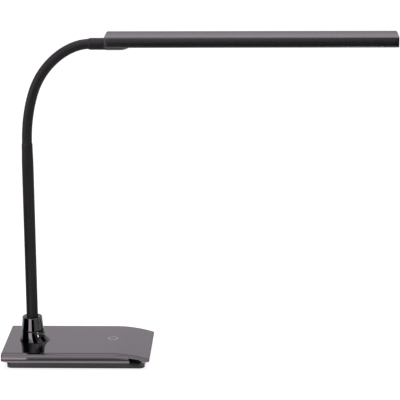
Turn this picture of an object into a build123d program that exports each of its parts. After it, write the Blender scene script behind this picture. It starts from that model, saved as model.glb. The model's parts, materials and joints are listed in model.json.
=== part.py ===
from build123d import *

import os
from math import cos, radians, sin, tan

# Gooseneck desk lamp. Millimetres, +Z up. The origin is the middle of the base's footprint, at desk
# level; +X runs from the neck towards the free end of the lamp head, and -Y is the front.

# ---------------------------------------------------------------------------------------------
# Sizes
# ---------------------------------------------------------------------------------------------

# Clearances
plastic_clearance = 0.15      # between moulded pieces that fit into each other
skin_clearance = 0.05         # between the sleeve and the metal under it
ball_clearance = 0.06         # between a hose link's ball and the cup that turns on it
thread_clearance = 0.05       # between a screw and its hole
skin_bend_clearance = 0.2     # left between sleeve segments at the tightest bend

# Base shell: a wide shell with a round front edge, which droops towards its right end
base_width = 160.0
base_depth = 102.0
base_height = 17.25
shell_wall = 2.4
shell_front_radius = 6.3
shell_back_radius = 1.6
shell_inner_radius = 0.4      # least round inside its edges
shell_corner_radius = 4.0
shell_end_radius = 1.2
droop_length = 43.0           # of the drooping part
droop_radius = 143.0

# Bottom cover, a tray set in from the shell's edge, which flares out above to meet that edge
tray_inset = 5.5
tray_wall = 1.8
tray_floor = 1.6
tray_corner_radius = 6.0
flare_foot = 6.5              # height at which the flare starts
flare_height = 4.1            # from there up to the shell's outer edge
cover_top = 10.0
pad_thickness = 0.5
pad_inset = 3.0               # from the tray's edge

# Cover screws, countersunk, driven up into the bosses of the shell
cover_screw_inset = 16.0      # from the base's edges
cover_screw_radius = 1.45
cover_screw_head_radius = 2.9
cover_screw_length = 8.4
cover_screw_hole_end = 0.5    # of the hole past the screw's tip
cover_boss_radius = 3.2

# Weight plate, which fills the tray up to the heads of the board's screws
weight_headroom = 0.9         # between it and those heads
weight_gap = 1.0              # from the tray's wall
weight_neck_hole_radius = 9.5
cable_channel_width = 8.0

# Control board, hung under the shell on four posts
board_length = 60.0
board_width = 34.0
board_thickness = 1.6
board_drop = 4.45             # from the shell's ceiling down to the board's top
board_post_inset = 3.0
board_post_radius = 2.4
board_screw_radius = 0.95
board_screw_head_radius = 2.0
board_screw_head_height = 1.3
board_screw_grip = 2.2        # length in the post
board_screw_hole_end = 0.3    # of the hole past the screw's tip

# Touch switch: a ring inlaid in the shell and a sensor spring under it
touch_inset = 43.0            # from the base's right edge
touch_y = 6.1
touch_offset = 15.0           # from the board's middle
touch_ring_radius = 5.3
touch_ring_line = 0.8
touch_ring_depth = 0.3
touch_spring_radius = 2.8
touch_spring_wire = 0.6
touch_spring_turns = 3

# Power jack in the back wall of the tray
jack_offset = 12.0            # from the board's left edge to the jack's middle
jack_width = 7.0
jack_height = 6.0
jack_length = 12.0
jack_bore_radius = 1.85
jack_bore_depth = 9.0
jack_pin_radius = 0.65
jack_pin_length = 7.0
lead_radius = 0.6
lead_spacing = 2.2
lead_bend_radii = (3.0, 2.0)  # at the back of the jack and beside the connector
lead_run = 5.0                # level run before the connector

# Connectors on the control board
connector_length = 6.0
connector_width = 6.0
connector_height = 3.2
jack_connector_y = 7.8

# Parts on the control board: place from its left edge and middle, then length, width and height
controller = (26.0, -12.0, 6.0, 5.0, 1.5)
coil = (14.0, -12.0, 7.0, 7.0, 2.6)
capacitor = (14.0, 0.0, 5.0, 5.0, 2.4)
resistor = (26.0, 0.0, 1.6, 0.8, 0.5)
resistor_pitch = 4.0
resistor_count = 3

# Neck: a rigid steel tube, then a flexible hose, under one sleeve
neck_inset = 29.3             # from the base's left edge
tube_top = 239.4
hose_radius = 4.6
tube_bore_radius = 3.2
tube_tail = 1.15              # length of the tube past its nut
sleeve_radius = 5.4           # over the hose
sleeve_tube_radius = 6.3      # over the rigid tube
sleeve_collar_radius = 5.9    # at the top of the rigid tube
sleeve_taper = 27.0           # length over which it narrows towards the tube's top
sleeve_step = 3.0             # length of the last step down to the hose
collar_radius = 8.5
collar_height = 3.0
washer_radius = 8.0
washer_thickness = 0.8
nut_across_flats = 14.0
nut_height = 3.5

# Flexible hose: bending joints at an even pitch, with a side joint halfway between every other pair.
# The turns are those of the rest shape, in degrees, and lead from upright to level.
bend_pitch = 17.71
bend_turns = (5.5, 5.5, 6.3, 11.5, 12.7, 12.3, 15.2, 21.0)
bend_down = 7.0               # travel of each bending joint past the rest shape
bend_up = 17.0                # travel back towards straight and beyond
side_travel = 15.0            # travel of each side joint, either way
ball_radius = 3.7
stem_radius = 2.5
hose_bore_radius = 1.9
ball_mouth_radius = 2.9
cup_lip = 0.9                 # how far a cup reaches past the middle of its ball
shoulder_gap = 3.3            # from the middle of a ball back to the barrel that carries it
fitting_length = 14.0         # of the end fitting inside the rigid tube

# Cable inside the neck
cable_radius = 1.3
cable_bend_radius = 25.0
cable_foot_radius = 8.0
cable_lead_radius = 4.0       # of its bends beside the connector
cable_rise = 1.3              # above the tray's floor
cable_run = 6.0               # level run before the connector
cable_slope = 10.0            # length over which it drops to the floor

# Socket round the foot of the neck: an oval flared foot and a round sleeve above it
socket_seam_height = 12.05    # above the shell
socket_height = 27.45
socket_top_radius = 10.9
socket_foot_offset = 2.1      # of the oval foot's middle, towards +X
socket_foot_length = 32.8
socket_foot_width = 25.0
socket_seam_length = 24.7
socket_seam_width = 23.2
socket_dish_radius = 9.7
socket_dish_depth = 1.1
socket_rim_radius = 0.6
socket_flare = 2.2            # how fast the foot narrows: 1 is even, more is quicker at first
socket_waist = 0.1            # how much narrower the sleeve's middle is across
socket_cavity_radius = 9.6
socket_cavity_height = 9.25
spigot_radius = 9.0
spigot_height = 4.0

# Head: an extruded housing between two end caps
head_start = 15.9             # from the end of the hose to the neck end cap
ferrule_grip = 17.0           # length of the ferrule inside the cap
head_length = 307.5
head_width = 41.0
head_height = 12.1
head_crown = 0.6
head_axis_height = 1.26       # of the neck's axis above the head's underside
head_top_radius = 1.2
head_bottom_radius = 1.6
neck_cap_thickness = 4.3
tip_cap_thickness = 4.0
cap_edge_radius = 1.0
housing_wall = 1.4
housing_top_wall = 1.7
light_slot_width = 30.0
boss_radius = 6.85
boss_length = 16.0            # of the round boss before it tapers
boss_taper = 13.0
boss_tip_radius = 1.2
cap_floor_length = 31.0
cap_floor_thickness = 1.6
screw_channel_radius = 2.4
screw_channel_y = 17.3
screw_channel_z = 8.4         # above the head's underside
cap_screw_radius = 1.2
cap_screw_head_radius = 2.2
cap_screw_head_height = 1.5
cap_screw_length = 12.0
set_screw_radius = 1.5
set_screw_x = 8.0             # from the head's start
set_screw_depth = 0.4         # of its top below the boss's surface
set_screw_key_depth = 1.0
ferrule_shoulder = 4.0        # depth of the narrower bore past the ferrule
cable_end = 1.0               # of the cable's jacket past the ferrule
tip_spigot_length = 5.0
tip_spigot_wall = 1.5

# Light: diffuser, LED board and chips
diffuser_recess = 0.2
diffuser_flange = 2.0
diffuser_thickness = 1.2
led_board_width = 24.0
led_board_thickness = 1.2
led_board_start = 33.0        # from the head's start
led_board_end_gap = 7.0       # to the tip cap
led_row_start = 10.0          # from the board's near end to the first chip's middle
led_row_end = 6.0             # from the last chip's middle to the board's far end
led_count = 42
led_length = 3.5
led_width = 2.8
led_height = 0.7
core_gap = 0.1                # between the two cores where they leave the jacket
core_level_run = 2.5          # before they rise to the board
core_reach = 4.0              # half the level stretch under the board's near end
core_bend_radii = (2.0, 4.0)

# ---------------------------------------------------------------------------------------------
# Levels and places that follow from the sizes
# ---------------------------------------------------------------------------------------------

tray_bottom = pad_thickness
tray_floor_top = tray_bottom + tray_floor
shell_ceiling = base_height - shell_wall
board_top = shell_ceiling - board_drop
board_underside = board_top - board_thickness
weight_top = board_underside - board_screw_head_height - weight_headroom
nut_top = shell_ceiling - washer_thickness
tube_foot = nut_top - nut_height - tube_tail
socket_seam = base_height + socket_seam_height
socket_top = base_height + socket_height
tray_length = base_width - 2 * tray_inset
tray_depth = base_depth - 2 * tray_inset
jack_axis = tray_floor_top + jack_height / 2
jack_back = tray_depth / 2 - jack_length
lead_level = board_top + connector_height / 2
cable_level = tray_floor_top + cable_radius + cable_rise
neck_x = neck_inset - base_width / 2
touch_x = base_width / 2 - touch_inset
board_x = touch_x - touch_offset
board_left = board_x - board_length / 2
jack_x = board_left - jack_offset
droop_start = base_width / 2 - droop_length


def droop(x):
    """How far the shell's top has dropped at a place along X."""
    past = max(0.0, x - droop_start)
    return droop_radius - (droop_radius ** 2 - past ** 2) ** 0.5


# ---------------------------------------------------------------------------------------------
# Helpers
# ---------------------------------------------------------------------------------------------

def rod(radius, bottom, top, x=0.0, y=0.0):
    """An upright cylinder between two levels."""
    return Pos(x, y, (bottom + top) / 2) * Cylinder(radius, top - bottom)


def block(x_range, y_range, z_range):
    """A box between two corners."""
    size = [high - low for low, high in (x_range, y_range, z_range)]
    middle = [(high + low) / 2 for low, high in (x_range, y_range, z_range)]
    return Pos(*middle) * Box(*size)


def slab(length, depth, radius, bottom, top):
    """A flat plate with rounded corners between two levels."""
    return Pos(0, 0, bottom) * extrude(RectangleRounded(length, depth, radius), top - bottom)


def turned(profile):
    """A solid of revolution about Z from a list of (radius, level) points."""
    outline = make_face(Polyline([(r, 0, z) for r, z in profile], close=True))
    return revolve(outline, Axis.Z)


def wire_run(points, radii, radius):
    """A round lead along straight runs joined by tangent arcs."""
    path = FilletPolyline(*points, radius=radii)
    start = Plane(origin=path @ 0, z_dir=path % 0)
    return sweep(start * Circle(radius), path=path)


def on_corners(x, y):
    """The four places at plus and minus x and y."""
    return [(sx * x, sy * y) for sx in (-1, 1) for sy in (-1, 1)]


def cross_recess(radius, depth, level):
    """The cross cut into a screw's head, opening downwards at a level."""
    bar = block((-radius, radius), (-radius / 5, radius / 5), (level, level + depth))
    return bar + Rot(0, 0, 90) * bar


# ---------------------------------------------------------------------------------------------
# Base
# ---------------------------------------------------------------------------------------------

def crowned_block(inset, floor, end_radius=0.0):
    """The shell's form, made smaller by an inset on every side and cut flat at a floor level."""
    width = base_depth - 2 * inset
    half = base_width / 2 - inset
    top = base_height - inset
    depth = droop_radius / 4
    section = Rectangle(width, depth)
    corners = section.vertices().sort_by(lambda corner: corner.Y - corner.X)
    section = fillet(corners[-1], shell_front_radius - inset)
    corners = section.vertices().sort_by(lambda corner: corner.Y + corner.X)
    section = fillet(corners[-1], max(shell_back_radius - inset, shell_inner_radius))
    section = Plane.YZ.offset(droop_start) * Pos(0, top - depth / 2) * section
    level_part = extrude(section, -(droop_start + half))
    pivot = Axis((droop_start, 0, base_height - droop_radius), (0, 1, 0))
    drooping_part = revolve(section, pivot, revolution_arc=25)
    form = level_part + drooping_part
    form &= block((-base_width, half), (-base_depth, base_depth), (floor, base_height + 1))
    if end_radius:
        tops = form.edges().filter_by(lambda e: abs(abs(e.center().X) - half) < 0.01)
        form = fillet(tops.filter_by(lambda e: e.center().Z > floor + 0.01), end_radius)
    return form & slab(2 * half, width, shell_corner_radius - inset, floor, base_height + 1)


def flared_outline():
    """Everything inside the underside's flare, which keeps one slope all the way up."""
    height = base_height + 1 - flare_foot
    spread = height * tray_inset / flare_height
    foot = Pos(0, 0, flare_foot) * RectangleRounded(tray_length, tray_depth, tray_corner_radius)
    top = Pos(0, 0, flare_foot + height) * RectangleRounded(
        tray_length + 2 * spread, tray_depth + 2 * spread, tray_corner_radius + spread)
    return loft([foot, top], ruled=True)


def shell_posts(places, radius, bottom):
    """Posts that hang from the shell's ceiling down to a level."""
    reach = crowned_block(shell_wall / 2, bottom)
    return [rod(radius, bottom, base_height, x, y) & reach for x, y in places]


def cover_screw_places():
    return on_corners(base_width / 2 - cover_screw_inset, base_depth / 2 - cover_screw_inset)


def board_screw_places():
    half_x = board_length / 2 - board_post_inset
    half_y = board_width / 2 - board_post_inset
    return [(board_x + x, y) for x, y in on_corners(half_x, half_y)]


def make_touch_ring():
    """A thin ring that follows the shell's drooping top."""
    ring = rod(touch_ring_radius, shell_ceiling, base_height, touch_x, touch_y)
    ring -= rod(touch_ring_radius - touch_ring_line, 0, base_height, touch_x, touch_y)
    return ring & (crowned_block(0, flare_foot) - crowned_block(touch_ring_depth, 0))


def make_top_shell(ring):
    shell = crowned_block(0, flare_foot, shell_end_radius) & flared_outline()
    shell -= crowned_block(shell_wall, 0)
    for post in shell_posts(cover_screw_places(), cover_boss_radius, tray_floor_top):
        shell += post
    for post in shell_posts(board_screw_places(), board_post_radius, board_top):
        shell += post
    cover_hole_top = tray_bottom + cover_screw_length + cover_screw_hole_end
    for x, y in cover_screw_places():
        shell -= rod(cover_screw_radius + thread_clearance, 0, cover_hole_top, x, y)
    board_hole_top = board_top + board_screw_grip + board_screw_hole_end
    for x, y in board_screw_places():
        shell -= rod(board_screw_radius + thread_clearance, 0, board_hole_top, x, y)
    shell -= rod(hose_radius + plastic_clearance, 0, base_height, neck_x)
    return shell - ring


def make_bottom_cover():
    tray = slab(tray_length, tray_depth, tray_corner_radius, tray_bottom, flare_foot)
    room = slab(
        tray_length - 2 * tray_wall, tray_depth - 2 * tray_wall,
        tray_corner_radius - tray_wall, tray_floor_top, cover_top)
    flare = flared_outline() & crowned_block(shell_wall + plastic_clearance, flare_foot)
    flare &= slab(base_width, base_depth, shell_corner_radius, flare_foot, cover_top)
    cover = tray + flare - room
    for x, y in cover_screw_places():
        cover -= rod(cover_screw_radius + plastic_clearance, 0, tray_floor_top, x, y)
        cover -= Pos(x, y, 0) * screw_head(plastic_clearance)
    window = jack_width / 2 + plastic_clearance
    cover -= block(
        (jack_x - window, jack_x + window), (jack_back, tray_depth),
        (tray_floor_top, tray_floor_top + jack_height))
    return cover


def screw_head(extra):
    """The countersunk head of a cover screw, or the hole for it with something added."""
    wide = cover_screw_head_radius + extra
    return turned([(0, tray_bottom), (wide, tray_bottom), (cover_screw_radius + extra, tray_floor_top),
                   (0, tray_floor_top)])


def make_cover_screws():
    shaft = rod(cover_screw_radius, tray_floor_top, tray_bottom + cover_screw_length)
    screw = screw_head(0) + shaft - cross_recess(cover_screw_head_radius / 2, tray_floor / 2, tray_bottom)
    return [Pos(x, y, 0) * screw for x, y in cover_screw_places()]


def make_foot_pad():
    return slab(
        tray_length - 2 * pad_inset, tray_depth - 2 * pad_inset,
        tray_corner_radius - pad_inset, 0, pad_thickness)


def make_weight_plate():
    length = tray_length - 2 * (tray_wall + weight_gap)
    depth = tray_depth - 2 * (tray_wall + weight_gap)
    plate = slab(length, depth, tray_corner_radius - tray_wall - weight_gap, tray_floor_top, weight_top)
    for x, y in cover_screw_places():
        plate -= rod(cover_boss_radius + weight_gap, 0, weight_top, x, y)
    plate -= rod(weight_neck_hole_radius, 0, weight_top, neck_x)
    half = cable_channel_width / 2
    bay = jack_width / 2 + weight_gap
    plate -= block((neck_x, board_left), (-half, half), (0, weight_top))
    plate -= block((jack_x - bay, jack_x + bay), (0, depth), (0, weight_top))
    return plate


def make_control_board():
    half = board_width / 2
    board = block((board_left, board_left + board_length), (-half, half), (board_underside, board_top))
    for x, y in board_screw_places():
        board -= rod(board_screw_radius + plastic_clearance, 0, board_top, x, y)
    return board


def make_board_screws():
    head = rod(board_screw_head_radius, board_underside - board_screw_head_height, board_underside)
    screw = head + rod(board_screw_radius, board_underside, board_top + board_screw_grip)
    screw -= cross_recess(
        board_screw_head_radius / 2, board_screw_head_height / 2,
        board_underside - board_screw_head_height)
    return [Pos(x, y, 0) * screw for x, y in board_screw_places()]


def make_board_connectors():
    half = connector_width / 2
    x_range = (board_left, board_left + connector_length)
    z_range = (board_top, board_top + connector_height)
    return [block(x_range, (y - half, y + half), z_range) for y in (0, jack_connector_y)]


def make_board_components():
    """A controller, a coil, a capacitor and small resistors, each standing on the board."""
    def standing(x, y, length, width, height):
        low_x = board_left + x
        return block((low_x, low_x + length), (y, y + width), (board_top, board_top + height))

    resistors = [Pos(resistor_pitch * number, 0, 0) * standing(*resistor) for number in range(resistor_count)]
    return [standing(*controller), standing(*coil), standing(*capacitor), *resistors]


def make_touch_spring():
    """The coil spring that carries the touch signal from the board to the shell."""
    wire = touch_spring_wire / 2
    room = shell_ceiling - droop(touch_x + touch_spring_radius) - board_top
    height = room - 2 * wire - 2 * plastic_clearance
    path = Helix(height / touch_spring_turns, height, touch_spring_radius)
    coil = sweep(Plane(origin=path @ 0, z_dir=path % 0) * Circle(wire), path=path, is_frenet=True)
    return Pos(touch_x, touch_y, board_top + wire + plastic_clearance) * coil


def make_power_jack():
    half = jack_width / 2
    body = block(
        (jack_x - half, jack_x + half), (jack_back, tray_depth / 2),
        (tray_floor_top, tray_floor_top + jack_height))
    return body - jack_bore(jack_bore_radius, jack_bore_depth)


def jack_bore(radius, depth):
    """A cylinder into the jack from its outer face."""
    return Pos(jack_x, tray_depth / 2 - depth / 2, jack_axis) * Rot(90, 0, 0) * Cylinder(radius, depth)


def make_jack_pin():
    return jack_bore(jack_pin_radius, jack_bore_depth) - jack_bore(
        jack_pin_radius, jack_bore_depth - jack_pin_length)


def make_jack_leads():
    """Two leads from the back of the jack, along its bay and up to its connector on the board."""
    leads = []
    for side in (-1, 1):
        x = jack_x + side * lead_spacing / 2
        y = jack_connector_y - side * lead_spacing / 2
        points = [(x, jack_back, jack_axis), (x, y, jack_axis),
                  (board_left - lead_run, y, lead_level), (board_left, y, lead_level)]
        leads.append(wire_run(points, lead_bend_radii, lead_radius))
    return leads


# ---------------------------------------------------------------------------------------------
# Neck
# ---------------------------------------------------------------------------------------------

def neck_stations():
    """The joints of the hose in order: (kind, x, z, angle before, angle after, turn to allow)."""
    x, z, angle = neck_x, tube_top, 0.0
    stations = []
    for number, turn in enumerate(bend_turns):
        run = bend_pitch / 2 if number == 0 else bend_pitch
        if number % 2 == 1:
            side_x = x + run / 2 * sin(radians(angle))
            side_z = z + run / 2 * cos(radians(angle))
            stations.append(("side", side_x, side_z, angle, angle, side_travel))
        x += run * sin(radians(angle))
        z += run * cos(radians(angle))
        widest = max(turn + bend_down, bend_up - turn)
        stations.append(("bend", x, z, angle, angle + turn, widest))
        angle += turn
    return stations


stations = neck_stations()
last_station = stations[-1]
hose_end = last_station[1] + bend_pitch / 2
head_axis = last_station[2]


def along(x, z, angle):
    """The frame at a place on the neck, with its z along the neck."""
    tilt = radians(angle)
    return Plane(origin=(x, 0, z), x_dir=(cos(tilt), 0, -sin(tilt)), z_dir=(sin(tilt), 0, cos(tilt)))


def end_gap(station):
    """How far a sleeve segment stays back from a joint, so that it can bend all the way."""
    return sleeve_radius * tan(radians(station[5] / 2)) + skin_bend_clearance


def cup(solid):
    """Hollow the lower end of a barrel to turn on the ball below it."""
    return solid - Sphere(ball_radius + ball_clearance)


def ball_end(level):
    """A ball on its stem, with a bore that widens towards its mouth."""
    stem = rod(stem_radius, level - shoulder_gap, level)
    mouth = turned([(0, level), (hose_bore_radius, level),
                    (ball_mouth_radius, level + ball_radius), (0, level + ball_radius)])
    return Pos(0, 0, level) * Sphere(ball_radius) + stem - mouth


def make_hose_link(length):
    """One link of the hose, from the joint at its foot to the joint at its top."""
    link = cup(rod(hose_radius, -cup_lip, length - shoulder_gap)) + ball_end(length)
    return link - rod(hose_bore_radius, -cup_lip, length + ball_radius)


def make_hose_links():
    links = []
    for lower, upper in zip(stations, stations[1:]):
        length = ((upper[1] - lower[1]) ** 2 + (upper[2] - lower[2]) ** 2) ** 0.5
        frame = along(lower[1], lower[2], lower[4])
        sleeve = rod(sleeve_radius, end_gap(lower), length - end_gap(upper))
        sleeve -= rod(hose_radius + skin_clearance, 0, length)
        links.append((frame * make_hose_link(length), frame * sleeve))
    return links


def make_tube_fitting():
    """The fitting pressed into the top of the rigid tube, which carries the first ball."""
    joint = stations[0][2]
    spigot = rod(tube_bore_radius - skin_clearance, tube_top - fitting_length, tube_top)
    fitting = spigot + rod(hose_radius, tube_top, joint - shoulder_gap) + ball_end(joint)
    fitting -= rod(hose_bore_radius, tube_top - fitting_length, joint + ball_radius)
    return Pos(neck_x, 0, 0) * fitting


def make_neck_tube():
    return rod(hose_radius, tube_foot, tube_top, neck_x) - rod(tube_bore_radius, tube_foot, tube_top, neck_x)


def make_neck_collar():
    ring = rod(collar_radius, base_height, base_height + collar_height)
    ring = chamfer(ring.edges().group_by(Axis.Z)[-1], collar_height / 6)
    return Pos(neck_x, 0, 0) * (ring - rod(hose_radius + skin_clearance, 0, socket_seam))


def make_tube_sleeve():
    """The lower part of the sleeve, over the rigid tube and on to the first joint."""
    inner = hose_radius + skin_clearance
    end = stations[0][2] - end_gap(stations[0])
    return Pos(neck_x, 0, 0) * turned([
        (inner, base_height + collar_height), (sleeve_tube_radius, base_height + collar_height),
        (sleeve_tube_radius, tube_top - sleeve_taper), (sleeve_collar_radius, tube_top - sleeve_step),
        (sleeve_radius, tube_top), (sleeve_radius, end), (inner, end)])


def make_washer():
    washer = rod(washer_radius, nut_top, shell_ceiling) - rod(hose_radius + skin_clearance, 0, shell_ceiling)
    return Pos(neck_x, 0, 0) * washer


def make_nut():
    hexagon = RegularPolygon(nut_across_flats / 2, 6, major_radius=False)
    nut = Pos(0, 0, nut_top - nut_height) * extrude(hexagon, nut_height)
    return Pos(neck_x, 0, 0) * (nut - rod(hose_radius + thread_clearance, 0, nut_top))


def make_neck_cable():
    """The two-core cable, from its connector on the board up through the neck into the head."""
    bends = [(s[1], 0, s[2]) for s in stations if s[0] == "bend"]
    slope_top = board_left - cable_run
    points = [(board_left, 0, lead_level), (slope_top, 0, lead_level),
              (slope_top - cable_slope, 0, cable_level), (neck_x, 0, cable_level), *bends,
              (head_x(ferrule_grip + cable_end), 0, head_axis)]
    radii = [cable_lead_radius, cable_lead_radius, cable_foot_radius] + [cable_bend_radius] * len(bends)
    return wire_run(points, radii, cable_radius)


def socket_oval(share, extra=0.0):
    """The socket's oval outline, from its foot (share 0) to its seam (share 1)."""
    blend = 1 - (1 - share) ** socket_flare
    long_axis = socket_foot_length + (socket_seam_length - socket_foot_length) * blend
    short_axis = socket_foot_width + (socket_seam_width - socket_foot_width) * blend
    level = base_height + (socket_seam - base_height) * share
    middle = neck_x + socket_foot_offset * (1 - blend)
    return Pos(middle, 0, level) * Ellipse(long_axis / 2 + extra, short_axis / 2 + extra)


def make_socket_foot():
    foot = loft([socket_oval(share) for share in (0, 0.3, 0.65, 1)])
    spigot = rod(spigot_radius, socket_seam, socket_seam + spigot_height, neck_x)
    passage = rod(sleeve_tube_radius + plastic_clearance, 0, socket_top, neck_x)
    cavity = rod(socket_cavity_radius, 0, base_height + socket_cavity_height, neck_x)
    return foot + spigot - passage - cavity


def make_socket_sleeve():
    middle_level = (socket_seam + socket_top) / 2
    middle_radius = (socket_seam_width / 2 + socket_top_radius) / 2
    body = loft([
        socket_oval(1),
        Pos(neck_x, 0, middle_level) * Ellipse(middle_radius, middle_radius - socket_waist),
        Pos(neck_x, 0, socket_top) * Circle(socket_top_radius)])
    body = fillet(body.edges().group_by(Axis.Z)[-1], socket_rim_radius)
    spigot_room = rod(
        spigot_radius + plastic_clearance, socket_seam, socket_seam + spigot_height + plastic_clearance,
        neck_x)
    passage = rod(sleeve_tube_radius + plastic_clearance, 0, socket_top, neck_x)
    dish = turned([(0, socket_top - socket_dish_depth), (sleeve_tube_radius, socket_top - socket_dish_depth),
                   (socket_dish_radius, socket_top), (0, socket_top)])
    return body - spigot_room - passage - Pos(neck_x, 0, 0) * dish


# ---------------------------------------------------------------------------------------------
# Head
# ---------------------------------------------------------------------------------------------

head_left = hose_end + head_start
head_bottom = head_axis - head_axis_height


def head_x(distance):
    """A place along the head, measured from its start at the neck."""
    return head_left + distance


housing_start = head_x(neck_cap_thickness)
housing_end = head_x(head_length - tip_cap_thickness)
housing_ceiling = head_height - housing_top_wall


def level_rod(radius, start, end, y=0.0, z=head_axis):
    """A cylinder along X between two places."""
    return Pos((start + end) / 2, y, z) * Rot(0, 90, 0) * Cylinder(radius, end - start)


def head_outline():
    """The head's outer cross section, Y across and Z up from the head's underside."""
    side_top = head_height - head_crown
    half = head_width / 2
    outline = make_face([
        Polyline([(half, side_top), (half, 0), (-half, 0), (-half, side_top)]),
        ThreePointArc((-half, side_top), (0, head_height), (half, side_top))])
    corners = outline.vertices().sort_by(Axis.Y)
    outline = fillet(corners[:2], head_bottom_radius)
    return fillet(outline.vertices().sort_by(Axis.Y)[-2:], head_top_radius)


def across(sketch, start, length):
    """A cross section of the head, drawn from its underside, pulled along X."""
    return extrude(Plane.YZ.offset(start) * Pos(0, head_bottom) * sketch, length)


def make_housing():
    inner_width = head_width - 2 * housing_wall
    room = Pos(0, (housing_wall + housing_ceiling) / 2) * Rectangle(
        inner_width, housing_ceiling - housing_wall)
    slot = Pos(0, housing_wall / 2) * Rectangle(light_slot_width, 2 * housing_wall)
    section = head_outline() - room - slot
    for side in (-1, 1):
        section += Pos(side * screw_channel_y, screw_channel_z) * Circle(screw_channel_radius)
        section -= Pos(side * screw_channel_y, screw_channel_z) * Circle(
            cap_screw_radius + thread_clearance)
    return across(section, housing_start, housing_end - housing_start)


def make_neck_cap():
    """The end cap that takes the neck: an end plate, a floor in the light slot and a torpedo boss."""
    plate = across(head_outline(), head_left, neck_cap_thickness)
    plate = fillet(plate.faces().sort_by(Axis.X)[0].edges(), cap_edge_radius)
    half = light_slot_width / 2 - plastic_clearance
    floor = block(
        (head_x(neck_cap_thickness / 2), head_x(cap_floor_length)), (-half, half),
        (head_bottom, head_bottom + cap_floor_thickness))
    end = boss_length + boss_taper
    taper = [(boss_radius - (boss_radius - boss_tip_radius) * step ** 2, boss_length + boss_taper * step)
             for step in (0.25, 0.5, 0.75, 1)]
    torpedo = turned([(0, 0), (boss_radius, 0), (boss_radius, boss_length), *taper, (0, end)])
    boss = Plane(origin=(head_left, 0, head_axis), x_dir=(0, 1, 0), z_dir=(1, 0, 0)) * torpedo
    cap = plate + floor + boss
    cap -= level_rod(hose_radius + skin_clearance, head_left, head_x(ferrule_grip))
    cap -= level_rod(tube_bore_radius, head_left, head_x(ferrule_grip + ferrule_shoulder))
    lead_way = tube_bore_radius
    cap -= block((head_x(ferrule_grip), head_x(boss_length + boss_taper)), (-lead_way, lead_way),
                 (head_axis - 2 * lead_radius, head_axis + boss_radius))
    cap -= rod(set_screw_radius + thread_clearance, head_axis, head_axis + boss_radius, head_x(set_screw_x))
    for y in (-screw_channel_y, screw_channel_y):
        z = head_bottom + screw_channel_z
        cap -= level_rod(cap_screw_radius + plastic_clearance, head_left, housing_start, y, z)
        cap -= level_rod(
            cap_screw_head_radius + plastic_clearance, head_left, head_x(cap_screw_head_height), y, z)
    return cap


def make_cap_screws():
    screws = []
    for y in (-screw_channel_y, screw_channel_y):
        z = head_bottom + screw_channel_z
        head = level_rod(cap_screw_head_radius, head_left, head_x(cap_screw_head_height), y, z)
        shaft = level_rod(cap_screw_radius, head_x(cap_screw_head_height), head_x(cap_screw_length), y, z)
        recess = Pos(head_left, y, z) * Rot(0, 90, 0) * cross_recess(
            cap_screw_head_radius / 2, cap_screw_head_height / 2, 0)
        screws.append(head + shaft - recess)
    return screws


def make_set_screw():
    x = head_x(set_screw_x)
    top = head_axis + boss_radius - set_screw_depth
    screw = rod(set_screw_radius, head_axis + hose_radius, top, x)
    key = RegularPolygon(set_screw_radius / 2, 6)
    key = Pos(x, 0, top - set_screw_key_depth) * extrude(key, set_screw_key_depth)
    return screw - key


def make_ferrule():
    """The steel end of the hose, clamped in the neck end cap."""
    joint = last_station[1]
    length = head_x(ferrule_grip) - joint
    barrel = cup(rod(hose_radius, -cup_lip, length)) - rod(hose_bore_radius, -cup_lip, length)
    barrel -= rod(tube_bore_radius, 2 * ball_radius, length)
    return along(joint, head_axis, 90) * barrel


def make_ferrule_sleeve():
    """The upper end of the sleeve, from the last joint up to the head."""
    joint = last_station[1]
    inner = hose_radius + skin_clearance
    start = end_gap(last_station)
    step = hose_end - joint
    end = head_left - joint
    profile = [(inner, start), (sleeve_radius, start), (sleeve_radius, step - sleeve_step),
               (sleeve_tube_radius, step), (sleeve_tube_radius, end), (inner, end)]
    return along(joint, head_axis, 90) * turned(profile)


def make_tip_cap():
    plate = across(head_outline(), housing_end, tip_cap_thickness)
    plate = fillet(plate.faces().sort_by(Axis.X)[-1].edges(), cap_edge_radius)
    half = light_slot_width / 2 - diffuser_flange - tip_spigot_wall
    low = housing_wall + diffuser_thickness + plastic_clearance
    high = housing_ceiling - plastic_clearance
    spigot = Pos(0, (low + high) / 2) * Rectangle(2 * half, high - low)
    hollow = Pos(0, (low + high) / 2) * Rectangle(
        2 * (half - tip_spigot_wall), high - low - 2 * tip_spigot_wall)
    return plate + across(spigot - hollow, housing_end - tip_spigot_length, tip_spigot_length)


def make_diffuser():
    """A frosted strip that shows in the slot and rests with its flanges on the housing."""
    window_width = light_slot_width - 2 * plastic_clearance
    window_height = housing_wall - diffuser_recess
    window = Pos(0, diffuser_recess + window_height / 2) * Rectangle(window_width, window_height)
    flange = Pos(0, housing_wall + diffuser_thickness / 2) * Rectangle(
        light_slot_width + 2 * diffuser_flange, diffuser_thickness)
    start = head_x(cap_floor_length)
    return across(window + flange, start, housing_end - start)


def make_led_board():
    start = head_x(led_board_start)
    section = Pos(0, housing_ceiling - led_board_thickness / 2) * Rectangle(
        led_board_width, led_board_thickness)
    return across(section, start, housing_end - led_board_end_gap - start)


def make_leds():
    top = head_bottom + housing_ceiling - led_board_thickness
    start = head_x(led_board_start) + led_row_start
    end = housing_end - led_board_end_gap - led_row_end
    pitch = (end - start) / (led_count - 1)
    chip = block(
        (-led_length / 2, led_length / 2), (-led_width / 2, led_width / 2), (top - led_height, top))
    chip = chamfer(chip.edges().group_by(Axis.Z)[0], led_height / 4)
    return [Pos(start + i * pitch, 0, 0) * chip for i in range(led_count)]


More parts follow.
